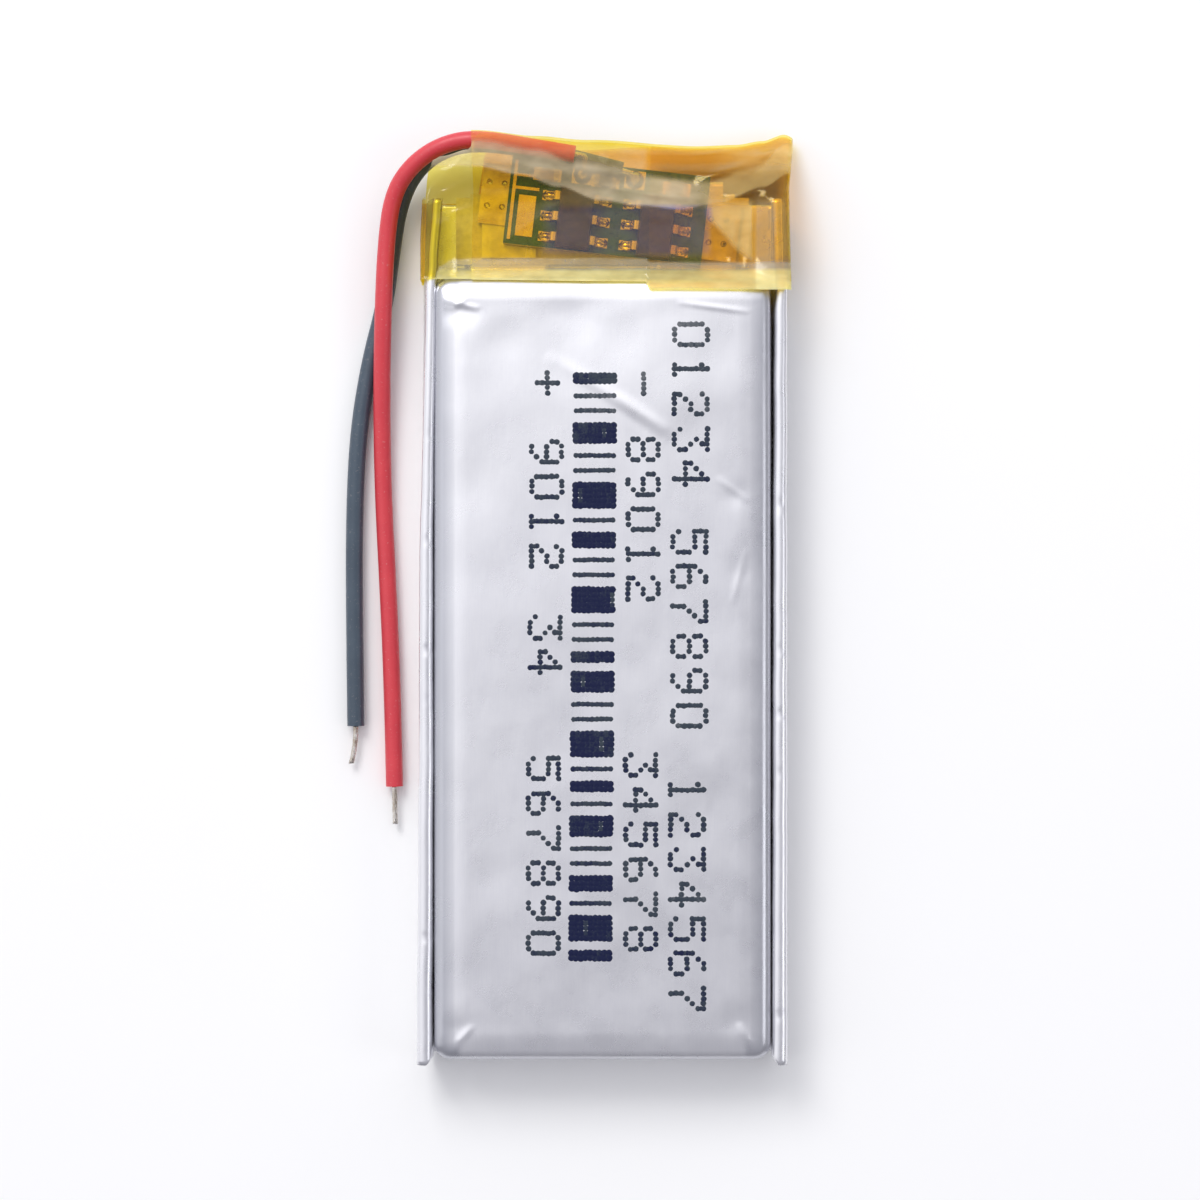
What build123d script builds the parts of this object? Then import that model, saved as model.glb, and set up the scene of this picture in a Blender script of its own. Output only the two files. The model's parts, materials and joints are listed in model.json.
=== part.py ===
from build123d import *
from math import cos, pi, radians, sin, tan
import os

# Single-cell lithium polymer pouch battery with its protection circuit, tape wrap and two leads.
# The cell lies on its back: X runs across it, Y along it towards the circuit end, Z up through its
# thickness. The origin is the middle of the footprint, on the surface that the cell rests on.
# All sizes are in millimetres.

# Whole cell: the standard 3.5 x 17 x 43 size
CELL_WIDTH = 17.0
CELL_LENGTH = 43.0
CELL_THICKNESS = 3.5

# Pouch
LAMINATE = 0.115
BODY_HALF_WIDTH = 7.7
EAR_LENGTH = 0.3
BODY_BOTTOM = -CELL_LENGTH / 2 + EAR_LENGTH
BODY_TOP = 15.3
END_SLOPE = 0.8
SEAL_END = 18.2
BACK_BULGE = 0.2
SEAM = BACK_BULGE + LAMINATE
FLANGE_TOP = SEAM + LAMINATE
BODY_CORNER = 1.0
BODY_EDGE = 0.7
TRAY_INSET = 0.15
TRAY_TOP = 14.35
WING_ROOT = 7.8
WING_FOLD = 0.08
WING_HEIGHT = 2.65
WING_CUT_HEIGHT = 0.9
WING_LEAN = 3.3
TAPED_WING_LEAN = -4.0
TAPED_FROM = 14.4
EAR_SLANT = [(7.5, 0.4), (7.79, 0.4), (8.1, 0.0), (8.1, -0.1), (7.5, -0.1)]

# Wound electrode roll
TURNS = 5
ELECTRODE = 0.115
SEPARATOR = 0.03
LAYER_GAP = 0.005
PITCH = 2 * (ELECTRODE + SEPARATOR + 2 * LAYER_GAP)
CORE_GAP = 0.03
FLAT_HALF = 5.8
ROLL_CENTRE = CELL_THICKNESS / 2
SEPARATOR_ENDS = (-20.8, 12.8)
ANODE_ENDS = (-20.4, 12.4)
CATHODE_ENDS = (-20.0, 12.0)
WELD_MARGIN = 0.05
CLOSING_TAPE = 0.04
CLOSING_TAPE_ENDS = (-12.0, 6.0)
CLOSING_TAPE_START = 1.0
CLOSING_TAPE_STOP = -5.7

# Tabs
TAB_X = 4.35
TAB_WIDTH = 2.5
TAB = 0.1
TAB_INNER_END = 6.2
TAB_SEAL_HEIGHT = 0.425
TAB_RETURN_HEIGHT = 0.83
TAB_FOLD_Y = 19.2
TAB_DROP = (13.95, 14.55)
TAB_RETURN_END = 15.7
TAB_DROP_RADIUS = 0.2
TAB_FOLD_RADIUS = 0.19
FILM_WIDTH = 3.6
FILM_ENDS = (14.75, 18.7)
FILM = 0.22
BUMP_WIDTH = 4.0

# Circuit board, turned a little on the top seal
BOARD_CENTRE = (0.2, 17.85)
BOARD_TURN = -6.5
BOARD_LENGTH = 9.2
BOARD_WIDTH = 4.1
BOARD = 0.55
PLATE = 0.12
COPPER = 0.03
PAPER = 0.08
PAPER_GAP = 0.01
PAPER_HALF = 6.8
PAPER_ENDS = (15.4, 18.5)
POSITIVE_PLATE = {"u": (-5.9, -3.2), "v": (-1.2, 1.6), "weld_u": -5.2}
NEGATIVE_PLATE = {"u": (3.3, 6.2), "v": (-1.7, 1.0), "weld_u": 5.2}
PLATE_BOTTOM = TAB_RETURN_HEIGHT + TAB / 2
BOARD_BOTTOM = PLATE_BOTTOM + PLATE + COPPER
BOARD_TOP = BOARD_BOTTOM + BOARD
PAD_TOP = BOARD_TOP + COPPER

# Six-lead packages and chip parts
CHIP_PITCH = 0.95
PACKAGE_WIDTH = 1.6
PACKAGE_LENGTH = 2.9
PACKAGE_HEIGHT = 1.0
PACKAGE_STANDOFF = 0.08
LEAD_WIDTH = 0.4
LEAD = 0.12
PACKAGE_ROW = -0.6
PROTECTION_IC_U = -1.41
MOSFET_U = 2.34
CHIP_BODY = (0.6, 0.5, 0.33)
CHIP_CAP = (0.2, 0.52, 0.35)
CHIP_PLACES = {
    "overcurrent_resistor": (-0.2, 1.3),
    "supply_resistor": (3.1, 1.3),
    "filter_capacitor": (-2.9, 1.3),
}
LEAD_PAD = (0.50, 0.46)
LEAD_PAD_REACH = 1.36
CHIP_PAD = (0.44, 0.6)
CHIP_PAD_REACH = 0.42
WIRE_PAD = (0.95, 0.84)
# Bare copper on the front, as (u range, v range): test pad, border line and two short traces
FRONT_TRACES = [
    ((-4.1, -3.3), (-1.65, 0.25)),
    ((-4.45, -4.3), (-1.85, 1.85)),
    ((-4.3, -3.2), (0.5, 0.64)),
    ((-4.3, -3.5), (1.1, 1.24)),
]
WELD_STEP = (0.35, 0.55)
WELD_RADIUS = 0.14
BACK_PADS = [((-4.5, -3.2), (-1.2, 1.6)), ((3.3, 4.5), (-1.7, 1.0))]

# Tape wrap
TAPE = 0.06
TAPE_INNER_HALF = 8.36
TAPE_FLOOR = 0.14
TAPE_CEILING = 3.27
TAPE_CORNER = 0.25
TAPE_BOTTOM_EDGE = 14.62
TAPE_START_X = -5.7
TAPE_OPEN_CORNER = [(-5.7, 20.4), (-8.5, 17.7), (-9.5, 17.7), (-9.5, 22.0), (-5.7, 22.0)]
TAPE_OPEN_FROM = 0.5

# Leads
LEAD_DIAMETER = 0.8
CONDUCTOR_DIAMETER = 0.25
BARE_LENGTH = 1.7
POSITIVE_ROUTE = [
    (-1.27, 20.25, 2.85),
    (-3.55, 20.64, 2.85),
    (-5.90, 21.02, 2.78),
    (-7.50, 20.70, 2.52),
    (-8.85, 19.80, 2.14),
    (-9.70, 18.50, 1.74),
    (-10.02, 16.30, 1.36),
    (-10.16, 13.10, 1.34),
    (-10.26, 9.20, 0.78),
    (-10.22, 4.90, 0.42),
    (-9.98, 0.30, 0.42),
    (-9.78, -4.30, 0.42),
    (-9.68, -8.85, 0.42),
]
NEGATIVE_ROUTE = [
    (0.90, 19.60, 2.03),
    (-1.25, 20.19, 2.02),
    (-3.60, 20.66, 2.00),
    (-5.95, 20.95, 1.82),
    (-7.57, 20.58, 1.50),
    (-8.78, 19.58, 1.14),
    (-9.47, 18.05, 0.78),
    (-9.80, 16.00, 0.50),
    (-10.12, 13.60, 0.42),
    (-10.86, 10.80, 0.42),
    (-11.40, 7.40, 0.42),
    (-11.56, 3.20, 0.42),
    (-11.54, -1.50, 0.42),
    (-11.48, -6.04, 0.42),
]
POSITIVE_SOLDER = (-0.92, 19.45)
NEGATIVE_SOLDER = (1.50, 19.22)
POSITIVE_INNER_ROUTE = [
    POSITIVE_ROUTE[0],
    (-0.80, 20.16, 2.85),
    (-0.80, 19.62, 2.60),
    (*POSITIVE_SOLDER, PAD_TOP + 0.1),
]
NEGATIVE_INNER_ROUTE = [NEGATIVE_ROUTE[0], (1.25, 19.50, 2.0), (*NEGATIVE_SOLDER, PAD_TOP + 0.15)]
SOLDER_RADIUS = 0.42
SOLDER_HEIGHT = 0.36


def block(x_range, y_range, z_range):
    """A box between two limits on each axis."""
    size = [high - low for low, high in (x_range, y_range, z_range)]
    middle = [(high + low) / 2 for low, high in (x_range, y_range, z_range)]
    return Pos(*middle) * Box(*size)


def rounded_block(half_width, y_range, z_range, corner):
    """A box with its four upright edges rounded."""
    shape = block((-half_width, half_width), y_range, z_range)
    return fillet(shape.edges().filter_by(Axis.Z), corner)


def along_y(section, y_range):
    """Extrudes a section drawn as (x, z) along Y."""
    face = Plane.XZ.offset(-y_range[0]) * section
    return extrude(face, amount=y_range[1] - y_range[0], dir=(0, 1, 0))


def on_board(u, v, z=0.0):
    """A place in the turned board's own axes."""
    return Pos(*BOARD_CENTRE, 0) * Rot(0, 0, BOARD_TURN) * Pos(u, v, z)


# Pouch

def wing_section(inner_radius, outer_radius, crest, lean):
    """One laminate of the folded side seal, from its root round the bend and up to its crest.

    The crest is a list of (distance out from the bend's centre, height above it) points.
    """
    centre = (WING_ROOT, FLANGE_TOP + WING_FOLD)
    side, rise = cos(radians(lean)), sin(radians(lean))
    placed = []
    for out, height in [(outer_radius, 0), *crest, (inner_radius, 0)]:
        placed.append((centre[0] + out * side + height * rise, centre[1] - out * rise + height * side))
    root = Line((WING_ROOT, centre[1] - inner_radius), (WING_ROOT, centre[1] - outer_radius))
    outer_arc = CenterArc(centre, outer_radius, -90, 90 - lean)
    inner_arc = CenterArc(centre, inner_radius, -90, 90 - lean)
    return make_face([root, outer_arc, Polyline(*placed), inner_arc])


def wings(inner_radius, outer_radius, crest):
    """Both side seals of one pouch half, drawn in where the tape holds them."""
    free_section = wing_section(inner_radius, outer_radius, crest, WING_LEAN)
    taped_section = wing_section(inner_radius, outer_radius, crest, TAPED_WING_LEAN)
    free = along_y(free_section, (-CELL_LENGTH / 2, TAPED_FROM))
    taped = along_y(taped_section, (TAPED_FROM, SEAL_END))
    ear = Polyline(*[(x, y - CELL_LENGTH / 2) for x, y in EAR_SLANT], close=True)
    wing = free + taped - extrude(make_face(ear), amount=CELL_THICKNESS)
    return wing + mirror(wing, about=Plane.YZ)


def tab_boxes(width, y_range, z_range):
    """The same block at each of the two tabs."""
    return [block((x - width / 2, x + width / 2), y_range, z_range) for x in (-TAB_X, TAB_X)]


def pouch_back():
    """Flat half of the pouch: a shallow bulge under the roll, and wings doubled inside the cup's."""
    half = BODY_HALF_WIDTH - TRAY_INSET
    tray_ends = (BODY_BOTTOM + TRAY_INSET, TRAY_TOP)
    tray = rounded_block(half, tray_ends, (0, SEAM), BODY_CORNER)
    tray = fillet(tray.faces().sort_by(Axis.Z)[0].edges(), 0.12)
    room_ends = (tray_ends[0] + LAMINATE, tray_ends[1] - LAMINATE)
    room = rounded_block(half - LAMINATE, room_ends, (LAMINATE, SEAM + 1), BODY_CORNER - LAMINATE)
    flange = block((-WING_ROOT, WING_ROOT), (BODY_BOTTOM, SEAL_END), (BACK_BULGE, SEAM))
    first, second, third = (WING_FOLD + layers * LAMINATE for layers in (1, 2, 3))
    top = WING_HEIGHT - LAMINATE
    crest = [(second, WING_CUT_HEIGHT), (third, WING_CUT_HEIGHT), (third, top), (first, top)]
    return tray + flange - room + wings(first, second, crest)


def cup_shape(inset):
    """The drawn cup as a solid with a sloping tab end, shrunk by an inset on its five closed sides."""
    half, heights = BODY_HALF_WIDTH - inset, (SEAM, CELL_THICKNESS - inset)
    ends = (BODY_BOTTOM + inset, BODY_TOP - inset)
    face_end = ends[1] - END_SLOPE
    corners = [(ends[0], heights[0]), (ends[1], heights[0]), (face_end, heights[1]), (ends[0], heights[1])]
    profile = Polyline(*corners, close=True)
    shape = extrude(Plane.YZ * make_face(profile), amount=half, both=True)
    upright = [edge for edge in shape.edges() if edge.bounding_box().size.Z > 1]
    shape = fillet(upright, BODY_CORNER - inset)
    return fillet(shape.faces().sort_by(Axis.Z)[-1].edges(), BODY_EDGE - inset)


def pouch_cup():
    """Drawn half of the pouch: the cup, its seal flange and the outside laminate of the doubled wings."""
    cup = cup_shape(0) + block((-WING_ROOT, WING_ROOT), (BODY_BOTTOM, SEAL_END), (SEAM, FLANGE_TOP))
    bump_height = SEAM + FILM + LAMINATE
    for bump in tab_boxes(BUMP_WIDTH, (BODY_TOP - LAMINATE, SEAL_END), (SEAM, bump_height)):
        cup += bump
    first, third, fourth = (WING_FOLD + layers * LAMINATE for layers in (1, 3, 4))
    top = WING_HEIGHT - LAMINATE
    crest = [(first, top), (third, top), (third, WING_CUT_HEIGHT), (fourth, WING_CUT_HEIGHT),
             (fourth, WING_HEIGHT), (WING_FOLD, WING_HEIGHT)]
    cup = cup - cup_shape(LAMINATE) + wings(WING_FOLD, first, crest)
    for film in tab_boxes(FILM_WIDTH, FILM_ENDS, (SEAM, SEAM + FILM)):
        cup -= film
    return cup


# Roll

def racetrack(offset):
    """The flat spiral at one distance from the winding's core, from its start to its end."""
    path = []
    for turn in range(TURNS):
        radius = CORE_GAP + turn * PITCH + offset
        path.append(Line((-FLAT_HALF, radius), (FLAT_HALF, radius)))
        path.append(CenterArc((FLAT_HALF, 0), radius, 90, -180))
        path.append(Line((FLAT_HALF, -radius), (-FLAT_HALF, -radius)))
        if turn < TURNS - 1:
            path.append(CenterArc((-FLAT_HALF, PITCH / 2), radius + PITCH / 2, -90, -180))
    return path


def wound_layer(offset, thickness, ends):
    """One wound foil: the space between two spirals, extruded along the roll."""
    inside = racetrack(offset)
    outside = racetrack(offset + thickness)
    start = Line(inside[0] @ 0, outside[0] @ 0)
    finish = Line(inside[-1] @ 1, outside[-1] @ 1)
    layer = along_y(make_face([start, *inside, finish, *outside]), ends)
    return Pos(0, 0, ROLL_CENTRE) * layer


def foil_pocket(x, offset, ends):
    """The bare patch of a foil's first turn, where its tab is welded."""
    low = ROLL_CENTRE - CORE_GAP - offset - ELECTRODE - LAYER_GAP / 2
    high = ROLL_CENTRE - CORE_GAP - offset + LAYER_GAP / 2
    reach = TAB_WIDTH / 2 + WELD_MARGIN
    return block((x - reach, x + reach), (TAB_INNER_END - WELD_MARGIN, ends[1] + 1), (low, high))


def closing_tape():
    """The strip that holds the roll's outer end."""
    inner = CORE_GAP + TURNS * PITCH
    outer = inner + CLOSING_TAPE
    start, stop = CLOSING_TAPE_START, CLOSING_TAPE_STOP
    edges = [
        Line((start, inner), (FLAT_HALF, inner)),
        CenterArc((FLAT_HALF, 0), inner, 90, -180),
        Line((FLAT_HALF, -inner), (stop, -inner)),
        Line((stop, -inner), (stop, -outer)),
        Line((stop, -outer), (FLAT_HALF, -outer)),
        CenterArc((FLAT_HALF, 0), outer, -90, 180),
        Line((FLAT_HALF, outer), (start, outer)),
        Line((start, outer), (start, inner)),
    ]
    return Pos(0, 0, ROLL_CENTRE) * along_y(make_face(edges), CLOSING_TAPE_ENDS)


# Tabs

def tab(x, inner_height):
    """A flat tab: out of the roll, down to the seal, out of it, and folded back over it."""
    route = FilletPolyline(
        (x, TAB_INNER_END, inner_height),
        (x, TAB_DROP[0], inner_height),
        (x, TAB_DROP[1], TAB_SEAL_HEIGHT),
        (x, TAB_FOLD_Y, TAB_SEAL_HEIGHT),
        (x, TAB_FOLD_Y, TAB_RETURN_HEIGHT),
        (x, TAB_RETURN_END, TAB_RETURN_HEIGHT),
        radius=[TAB_DROP_RADIUS, TAB_DROP_RADIUS, TAB_FOLD_RADIUS, TAB_FOLD_RADIUS],
    )
    section = Plane(origin=route @ 0, x_dir=(1, 0, 0), z_dir=route % 0) * Rectangle(TAB_WIDTH, TAB)
    return sweep(section, path=route)


def tab_film(x):
    """The sealing film around a tab where it crosses the top seal."""
    film = block((x - FILM_WIDTH / 2, x + FILM_WIDTH / 2), FILM_ENDS, (SEAM, SEAM + FILM))
    slot = (TAB_SEAL_HEIGHT - TAB / 2, TAB_SEAL_HEIGHT + TAB / 2)
    return film - block((x - TAB_WIDTH / 2, x + TAB_WIDTH / 2), (FILM_ENDS[0] - 1, FILM_ENDS[1] + 1), slot)


# Circuit board

def board_block(u_range, v_range, z_range):
    """A box set square to the turned board."""
    return on_board(0, 0) * block(u_range, v_range, z_range)


def nickel_plate(sizes):
    """A connection plate under one end of the board, with four spot-weld dimples."""
    plate = board_block(sizes["u"], sizes["v"], (PLATE_BOTTOM, PLATE_BOTTOM + PLATE))
    middle = sum(sizes["v"]) / 2
    for u_step in (-WELD_STEP[0], WELD_STEP[0]):
        for v_step in (-WELD_STEP[1], WELD_STEP[1]):
            weld = on_board(sizes["weld_u"] + u_step, middle + v_step, PLATE_BOTTOM + PLATE)
            plate -= weld * Sphere(WELD_RADIUS)
    return plate


def pad(u, v, size):
    """A pad of bare copper on the front of the board."""
    return on_board(u, v, BOARD_TOP + COPPER / 2) * Box(*size, COPPER)


def wire_pad(x, y):
    """A lead's pad, which is placed by the lead and turned with the board."""
    return Pos(x, y, BOARD_TOP + COPPER / 2) * Rot(0, 0, BOARD_TURN) * Box(*WIRE_PAD, COPPER)


def board_copper():
    """Pads under every joint, the test pad and the traces beside it."""
    front, back = (BOARD_TOP, PAD_TOP), (BOARD_BOTTOM - COPPER, BOARD_BOTTOM)
    copper = [board_block(u_range, v_range, front) for u_range, v_range in FRONT_TRACES]
    copper += [board_block(u_range, v_range, back) for u_range, v_range in BACK_PADS]
    for centre in (PROTECTION_IC_U, MOSFET_U):
        for side in (-1, 1):
            for row in (-1, 0, 1):
                copper.append(pad(centre + side * LEAD_PAD_REACH, PACKAGE_ROW + row * CHIP_PITCH, LEAD_PAD))
    for u, v in CHIP_PLACES.values():
        for side in (-1, 1):
            copper.append(pad(u + side * CHIP_PAD_REACH, v, CHIP_PAD))
    copper += [wire_pad(*POSITIVE_SOLDER), wire_pad(*NEGATIVE_SOLDER)]
    joined = copper[0]
    for piece in copper[1:]:
        joined += piece
    return joined


def package_body(u):
    """Moulded body of a six-lead package, drafted above and below its parting line."""
    parting = PAD_TOP + PACKAGE_STANDOFF + PACKAGE_HEIGHT / 2
    outline = on_board(u, PACKAGE_ROW, parting) * Rectangle(PACKAGE_WIDTH, PACKAGE_LENGTH)
    half = PACKAGE_HEIGHT / 2
    return extrude(outline, amount=half, taper=8) + extrude(outline, amount=-half, taper=8)


def package_leads(u):
    """Six bent leads: a flat foot, a riser and a shoulder against the body."""
    foot = LEAD / 2
    shoulder = PACKAGE_STANDOFF + PACKAGE_HEIGHT / 2
    leads = []
    for side in (-1, 1):
        for row in (-1, 0, 1):
            route = FilletPolyline(
                (side * 1.45, 0, foot),
                (side * 1.12, 0, foot),
                (side * 1.0, 0, shoulder),
                (side * PACKAGE_WIDTH / 2, 0, shoulder),
                radius=[0.1, 0.1],
            )
            section = Plane(origin=route @ 0, x_dir=(0, 1, 0), z_dir=route % 0)
            section *= Rectangle(LEAD_WIDTH, LEAD)
            place = on_board(u, PACKAGE_ROW + row * CHIP_PITCH, PAD_TOP)
            leads.append(place * sweep(section, path=route))
    return leads


def chip_body(name):
    """Ceramic body of a two-terminal chip part."""
    length, width, height = CHIP_BODY
    return on_board(*CHIP_PLACES[name], PAD_TOP + CHIP_CAP[2] / 2) * Box(length, width, height)


def chip_caps():
    """Metal end caps of the three chip parts."""
    reach = (CHIP_BODY[0] + CHIP_CAP[0]) / 2
    places = [(u + side * reach, v) for u, v in CHIP_PLACES.values() for side in (-1, 1)]
    return [on_board(u, v, PAD_TOP + CHIP_CAP[2] / 2) * Box(*CHIP_CAP) for u, v in places]


# Tape wrap

def tape_ring(layer, y_range):
    """A closed turn of film round the circuit end, at one layer of the wrap."""
    sections = []
    for reach in (layer * TAPE, (layer + 1) * TAPE):
        width = 2 * (TAPE_INNER_HALF + reach)
        height = TAPE_CEILING - TAPE_FLOOR + 2 * reach
        middle = (TAPE_CEILING + TAPE_FLOOR) / 2
        sections.append(Pos(0, middle) * RectangleRounded(width, height, TAPE_CORNER + reach))
    return along_y(sections[1] - sections[0], y_range)


def tape_first_turn():
    """The inner turn, open at the corner where the leads come out."""
    ring = tape_ring(0, (TAPE_BOTTOM_EDGE, CELL_LENGTH / 2 - 0.2))
    corner = make_face(Polyline(*TAPE_OPEN_CORNER, close=True))
    return ring - Pos(0, 0, TAPE_OPEN_FROM) * extrude(corner, amount=CELL_THICKNESS)


def tape_second_turn():
    """The outer turn, which starts on the front and ends under the left edge."""
    ring = tape_ring(1, (TAPE_BOTTOM_EDGE, CELL_LENGTH / 2))
    return ring - block((-CELL_WIDTH, TAPE_START_X), (0, CELL_LENGTH), (TAPE_OPEN_FROM, 2 * CELL_THICKNESS))


# Leads

def arc_radii(points):
    """The tangent arc at each corner of a route: 0.45 of the shorter run over tan(turn / 2)."""
    radii = []
    for before, corner, after in zip(points, points[1:], points[2:]):
        arriving = Vector(*corner) - Vector(*before)
        leaving = Vector(*after) - Vector(*corner)
        turn = radians(arriving.get_angle(leaving))
        radii.append(0.45 * min(arriving.length, leaving.length) / tan(turn / 2))
    return radii


def tube(points, radii, diameter):
    """A round tube along straight runs and tangent arcs."""
    route = FilletPolyline(*points, radius=radii)
    section = Plane(origin=route @ 0, z_dir=route % 0) * Circle(diameter / 2)
    return sweep(section, path=route), route.length


def lead(name, points):
    """A lead's insulation, with its arc radii and its volume against section times length."""
    radii = arc_radii(points)
    solid, length = tube(points, radii, LEAD_DIAMETER)
    expected = pi * (LEAD_DIAMETER / 2) ** 2 * length
    print(name, "radii", [round(r, 2) for r in radii], "length", round(length, 2))
    print(name, "volume", round(solid.volume, 4), "expected", round(expected, 4))
    return solid


def bare_tip(points):
    """The stripped and tinned end that runs on straight out of the insulation."""
    direction = (Vector(*points[-1]) - Vector(*points[-2])).normalized()
    end = Plane(origin=points[-1], z_dir=direction)
    return extrude(end * Circle(CONDUCTOR_DIAMETER / 2), amount=BARE_LENGTH)


def inner_end(points, radius):
    """The stripped end at the board, from the insulation down to its pad."""
    return tube(points, [radius] * (len(points) - 2), CONDUCTOR_DIAMETER)[0]


def solder_joint(place, conductor):
    """A small cone of solder on a pad, round the conductor's end."""
    cone = Cone(SOLDER_RADIUS, SOLDER_RADIUS / 2, SOLDER_HEIGHT)
    return Pos(*place, PAD_TOP + SOLDER_HEIGHT / 2) * cone - conductor


def build():
    """Every node of the cell, by name."""
    separator_step = ELECTRODE + LAYER_GAP
    anode_offset = separator_step + SEPARATOR + LAYER_GAP
    outer_offset = anode_offset + separator_step
    cathode = wound_layer(0, ELECTRODE, CATHODE_ENDS)
    cathode -= foil_pocket(-TAB_X, 0, CATHODE_ENDS)
    anode = wound_layer(anode_offset, ELECTRODE, ANODE_ENDS)
    anode -= foil_pocket(TAB_X, anode_offset, ANODE_ENDS)
    positive_height = ROLL_CENTRE - CORE_GAP - LAYER_GAP - TAB / 2
    negative_height = positive_height - anode_offset
    paper_bottom = SEAM + FILM + LAMINATE + PAPER_GAP
    paper = (paper_bottom, paper_bottom + PAPER)
    board_half = (BOARD_LENGTH / 2, BOARD_WIDTH / 2)
    positive_inner = inner_end(POSITIVE_INNER_ROUTE, 0.15)
    negative_inner = inner_end(NEGATIVE_INNER_ROUTE, 0.1)
    nodes = {
        "pouch_cup": pouch_cup(),
        "pouch_back": pouch_back(),
        "cathode_foil": cathode,
        "inner_separator": wound_layer(separator_step, SEPARATOR, SEPARATOR_ENDS),
        "anode_foil": anode,
        "outer_separator": wound_layer(outer_offset, SEPARATOR, SEPARATOR_ENDS),
        "roll_closing_tape": closing_tape(),
        "positive_tab": tab(-TAB_X, positive_height),
        "negative_tab": tab(TAB_X, negative_height),
        "positive_tab_film": tab_film(-TAB_X),
        "negative_tab_film": tab_film(TAB_X),
        "insulating_paper": block((-PAPER_HALF, PAPER_HALF), PAPER_ENDS, paper),
        "positive_nickel_plate": nickel_plate(POSITIVE_PLATE),
        "negative_nickel_plate": nickel_plate(NEGATIVE_PLATE),
        "circuit_board": board_block(*[(-half, half) for half in board_half], (BOARD_BOTTOM, BOARD_TOP)),
        "board_copper": board_copper(),
        "protection_ic_body": package_body(PROTECTION_IC_U),
        "protection_ic_leads": package_leads(PROTECTION_IC_U),
        "mosfet_body": package_body(MOSFET_U),
        "mosfet_leads": package_leads(MOSFET_U),
        "overcurrent_resistor": chip_body("overcurrent_resistor"),
        "supply_resistor": chip_body("supply_resistor"),
        "filter_capacitor": chip_body("filter_capacitor"),
        "chip_end_caps": chip_caps(),
        "tape_first_turn": tape_first_turn(),
        "tape_second_turn": tape_second_turn(),
        "positive_lead": lead("positive_lead", POSITIVE_ROUTE),
        "negative_lead": lead("negative_lead", NEGATIVE_ROUTE),
        "positive_lead_tip": bare_tip(POSITIVE_ROUTE),
        "negative_lead_tip": bare_tip(NEGATIVE_ROUTE),
        "positive_lead_inner_end": positive_inner,
        "negative_lead_inner_end": negative_inner,
        "positive_solder_joint": solder_joint(POSITIVE_SOLDER, positive_inner),
        "negative_solder_joint": solder_joint(NEGATIVE_SOLDER, negative_inner),
    }
    return nodes


os.makedirs("parts", exist_ok=True)
for node, shape in build().items():
    if isinstance(shape, list):
        shape = Compound(children=shape)
    export_step(shape, f"parts/{node}.step")
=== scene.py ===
import json
import math
import random

import bmesh
import bpy
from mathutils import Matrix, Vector, noise
from mathutils.bvhtree import BVHTree

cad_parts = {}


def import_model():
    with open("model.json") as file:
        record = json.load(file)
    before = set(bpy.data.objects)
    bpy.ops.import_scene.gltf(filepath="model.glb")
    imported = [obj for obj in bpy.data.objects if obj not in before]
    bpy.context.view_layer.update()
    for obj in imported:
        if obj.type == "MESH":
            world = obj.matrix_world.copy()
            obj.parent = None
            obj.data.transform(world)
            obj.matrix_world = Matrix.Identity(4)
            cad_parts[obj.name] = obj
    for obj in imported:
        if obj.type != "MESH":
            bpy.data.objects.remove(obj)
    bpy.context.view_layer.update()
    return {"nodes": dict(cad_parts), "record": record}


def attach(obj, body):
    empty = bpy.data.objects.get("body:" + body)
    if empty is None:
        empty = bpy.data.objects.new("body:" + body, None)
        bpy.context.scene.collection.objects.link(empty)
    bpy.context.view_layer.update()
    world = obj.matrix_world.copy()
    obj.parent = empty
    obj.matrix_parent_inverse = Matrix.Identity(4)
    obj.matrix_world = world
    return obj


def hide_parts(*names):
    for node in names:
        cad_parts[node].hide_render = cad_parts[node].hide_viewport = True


# A taped lithium polymer pouch cell with its two leads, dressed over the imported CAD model.
# Lengths in the code are millimetres in the CAD frame; MM turns them into Blender's metres.

MM = 0.001
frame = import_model()
SCENE = bpy.context.scene


# ---------------- camera and leads

CAMERA_LENS = 100.0
SENSOR = 36.0
VIEW_WIDTH = 55.3
AIM = (-0.115, -0.18, 2.0)


def make_camera():
    """A long lens straight above the cell, framed a little wider than it is long."""
    data = bpy.data.cameras.new("camera")
    data.lens = CAMERA_LENS
    data.sensor_width = SENSOR
    data.clip_start = 0.01
    data.clip_end = 10.0
    camera = bpy.data.objects.new("camera", data)
    height = VIEW_WIDTH * CAMERA_LENS / SENSOR
    camera.location = Vector((AIM[0], AIM[1], AIM[2] + height)) * MM
    SCENE.collection.objects.link(camera)
    SCENE.camera = camera


make_camera()

LEAD_DIAMETER = 0.8
BARE_LENGTH = 1.75
STRANDS = 7
STRAND_RADIUS, STRAND_ORBIT = 0.052, 0.070
TWIST_TURNS = 0.55
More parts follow.
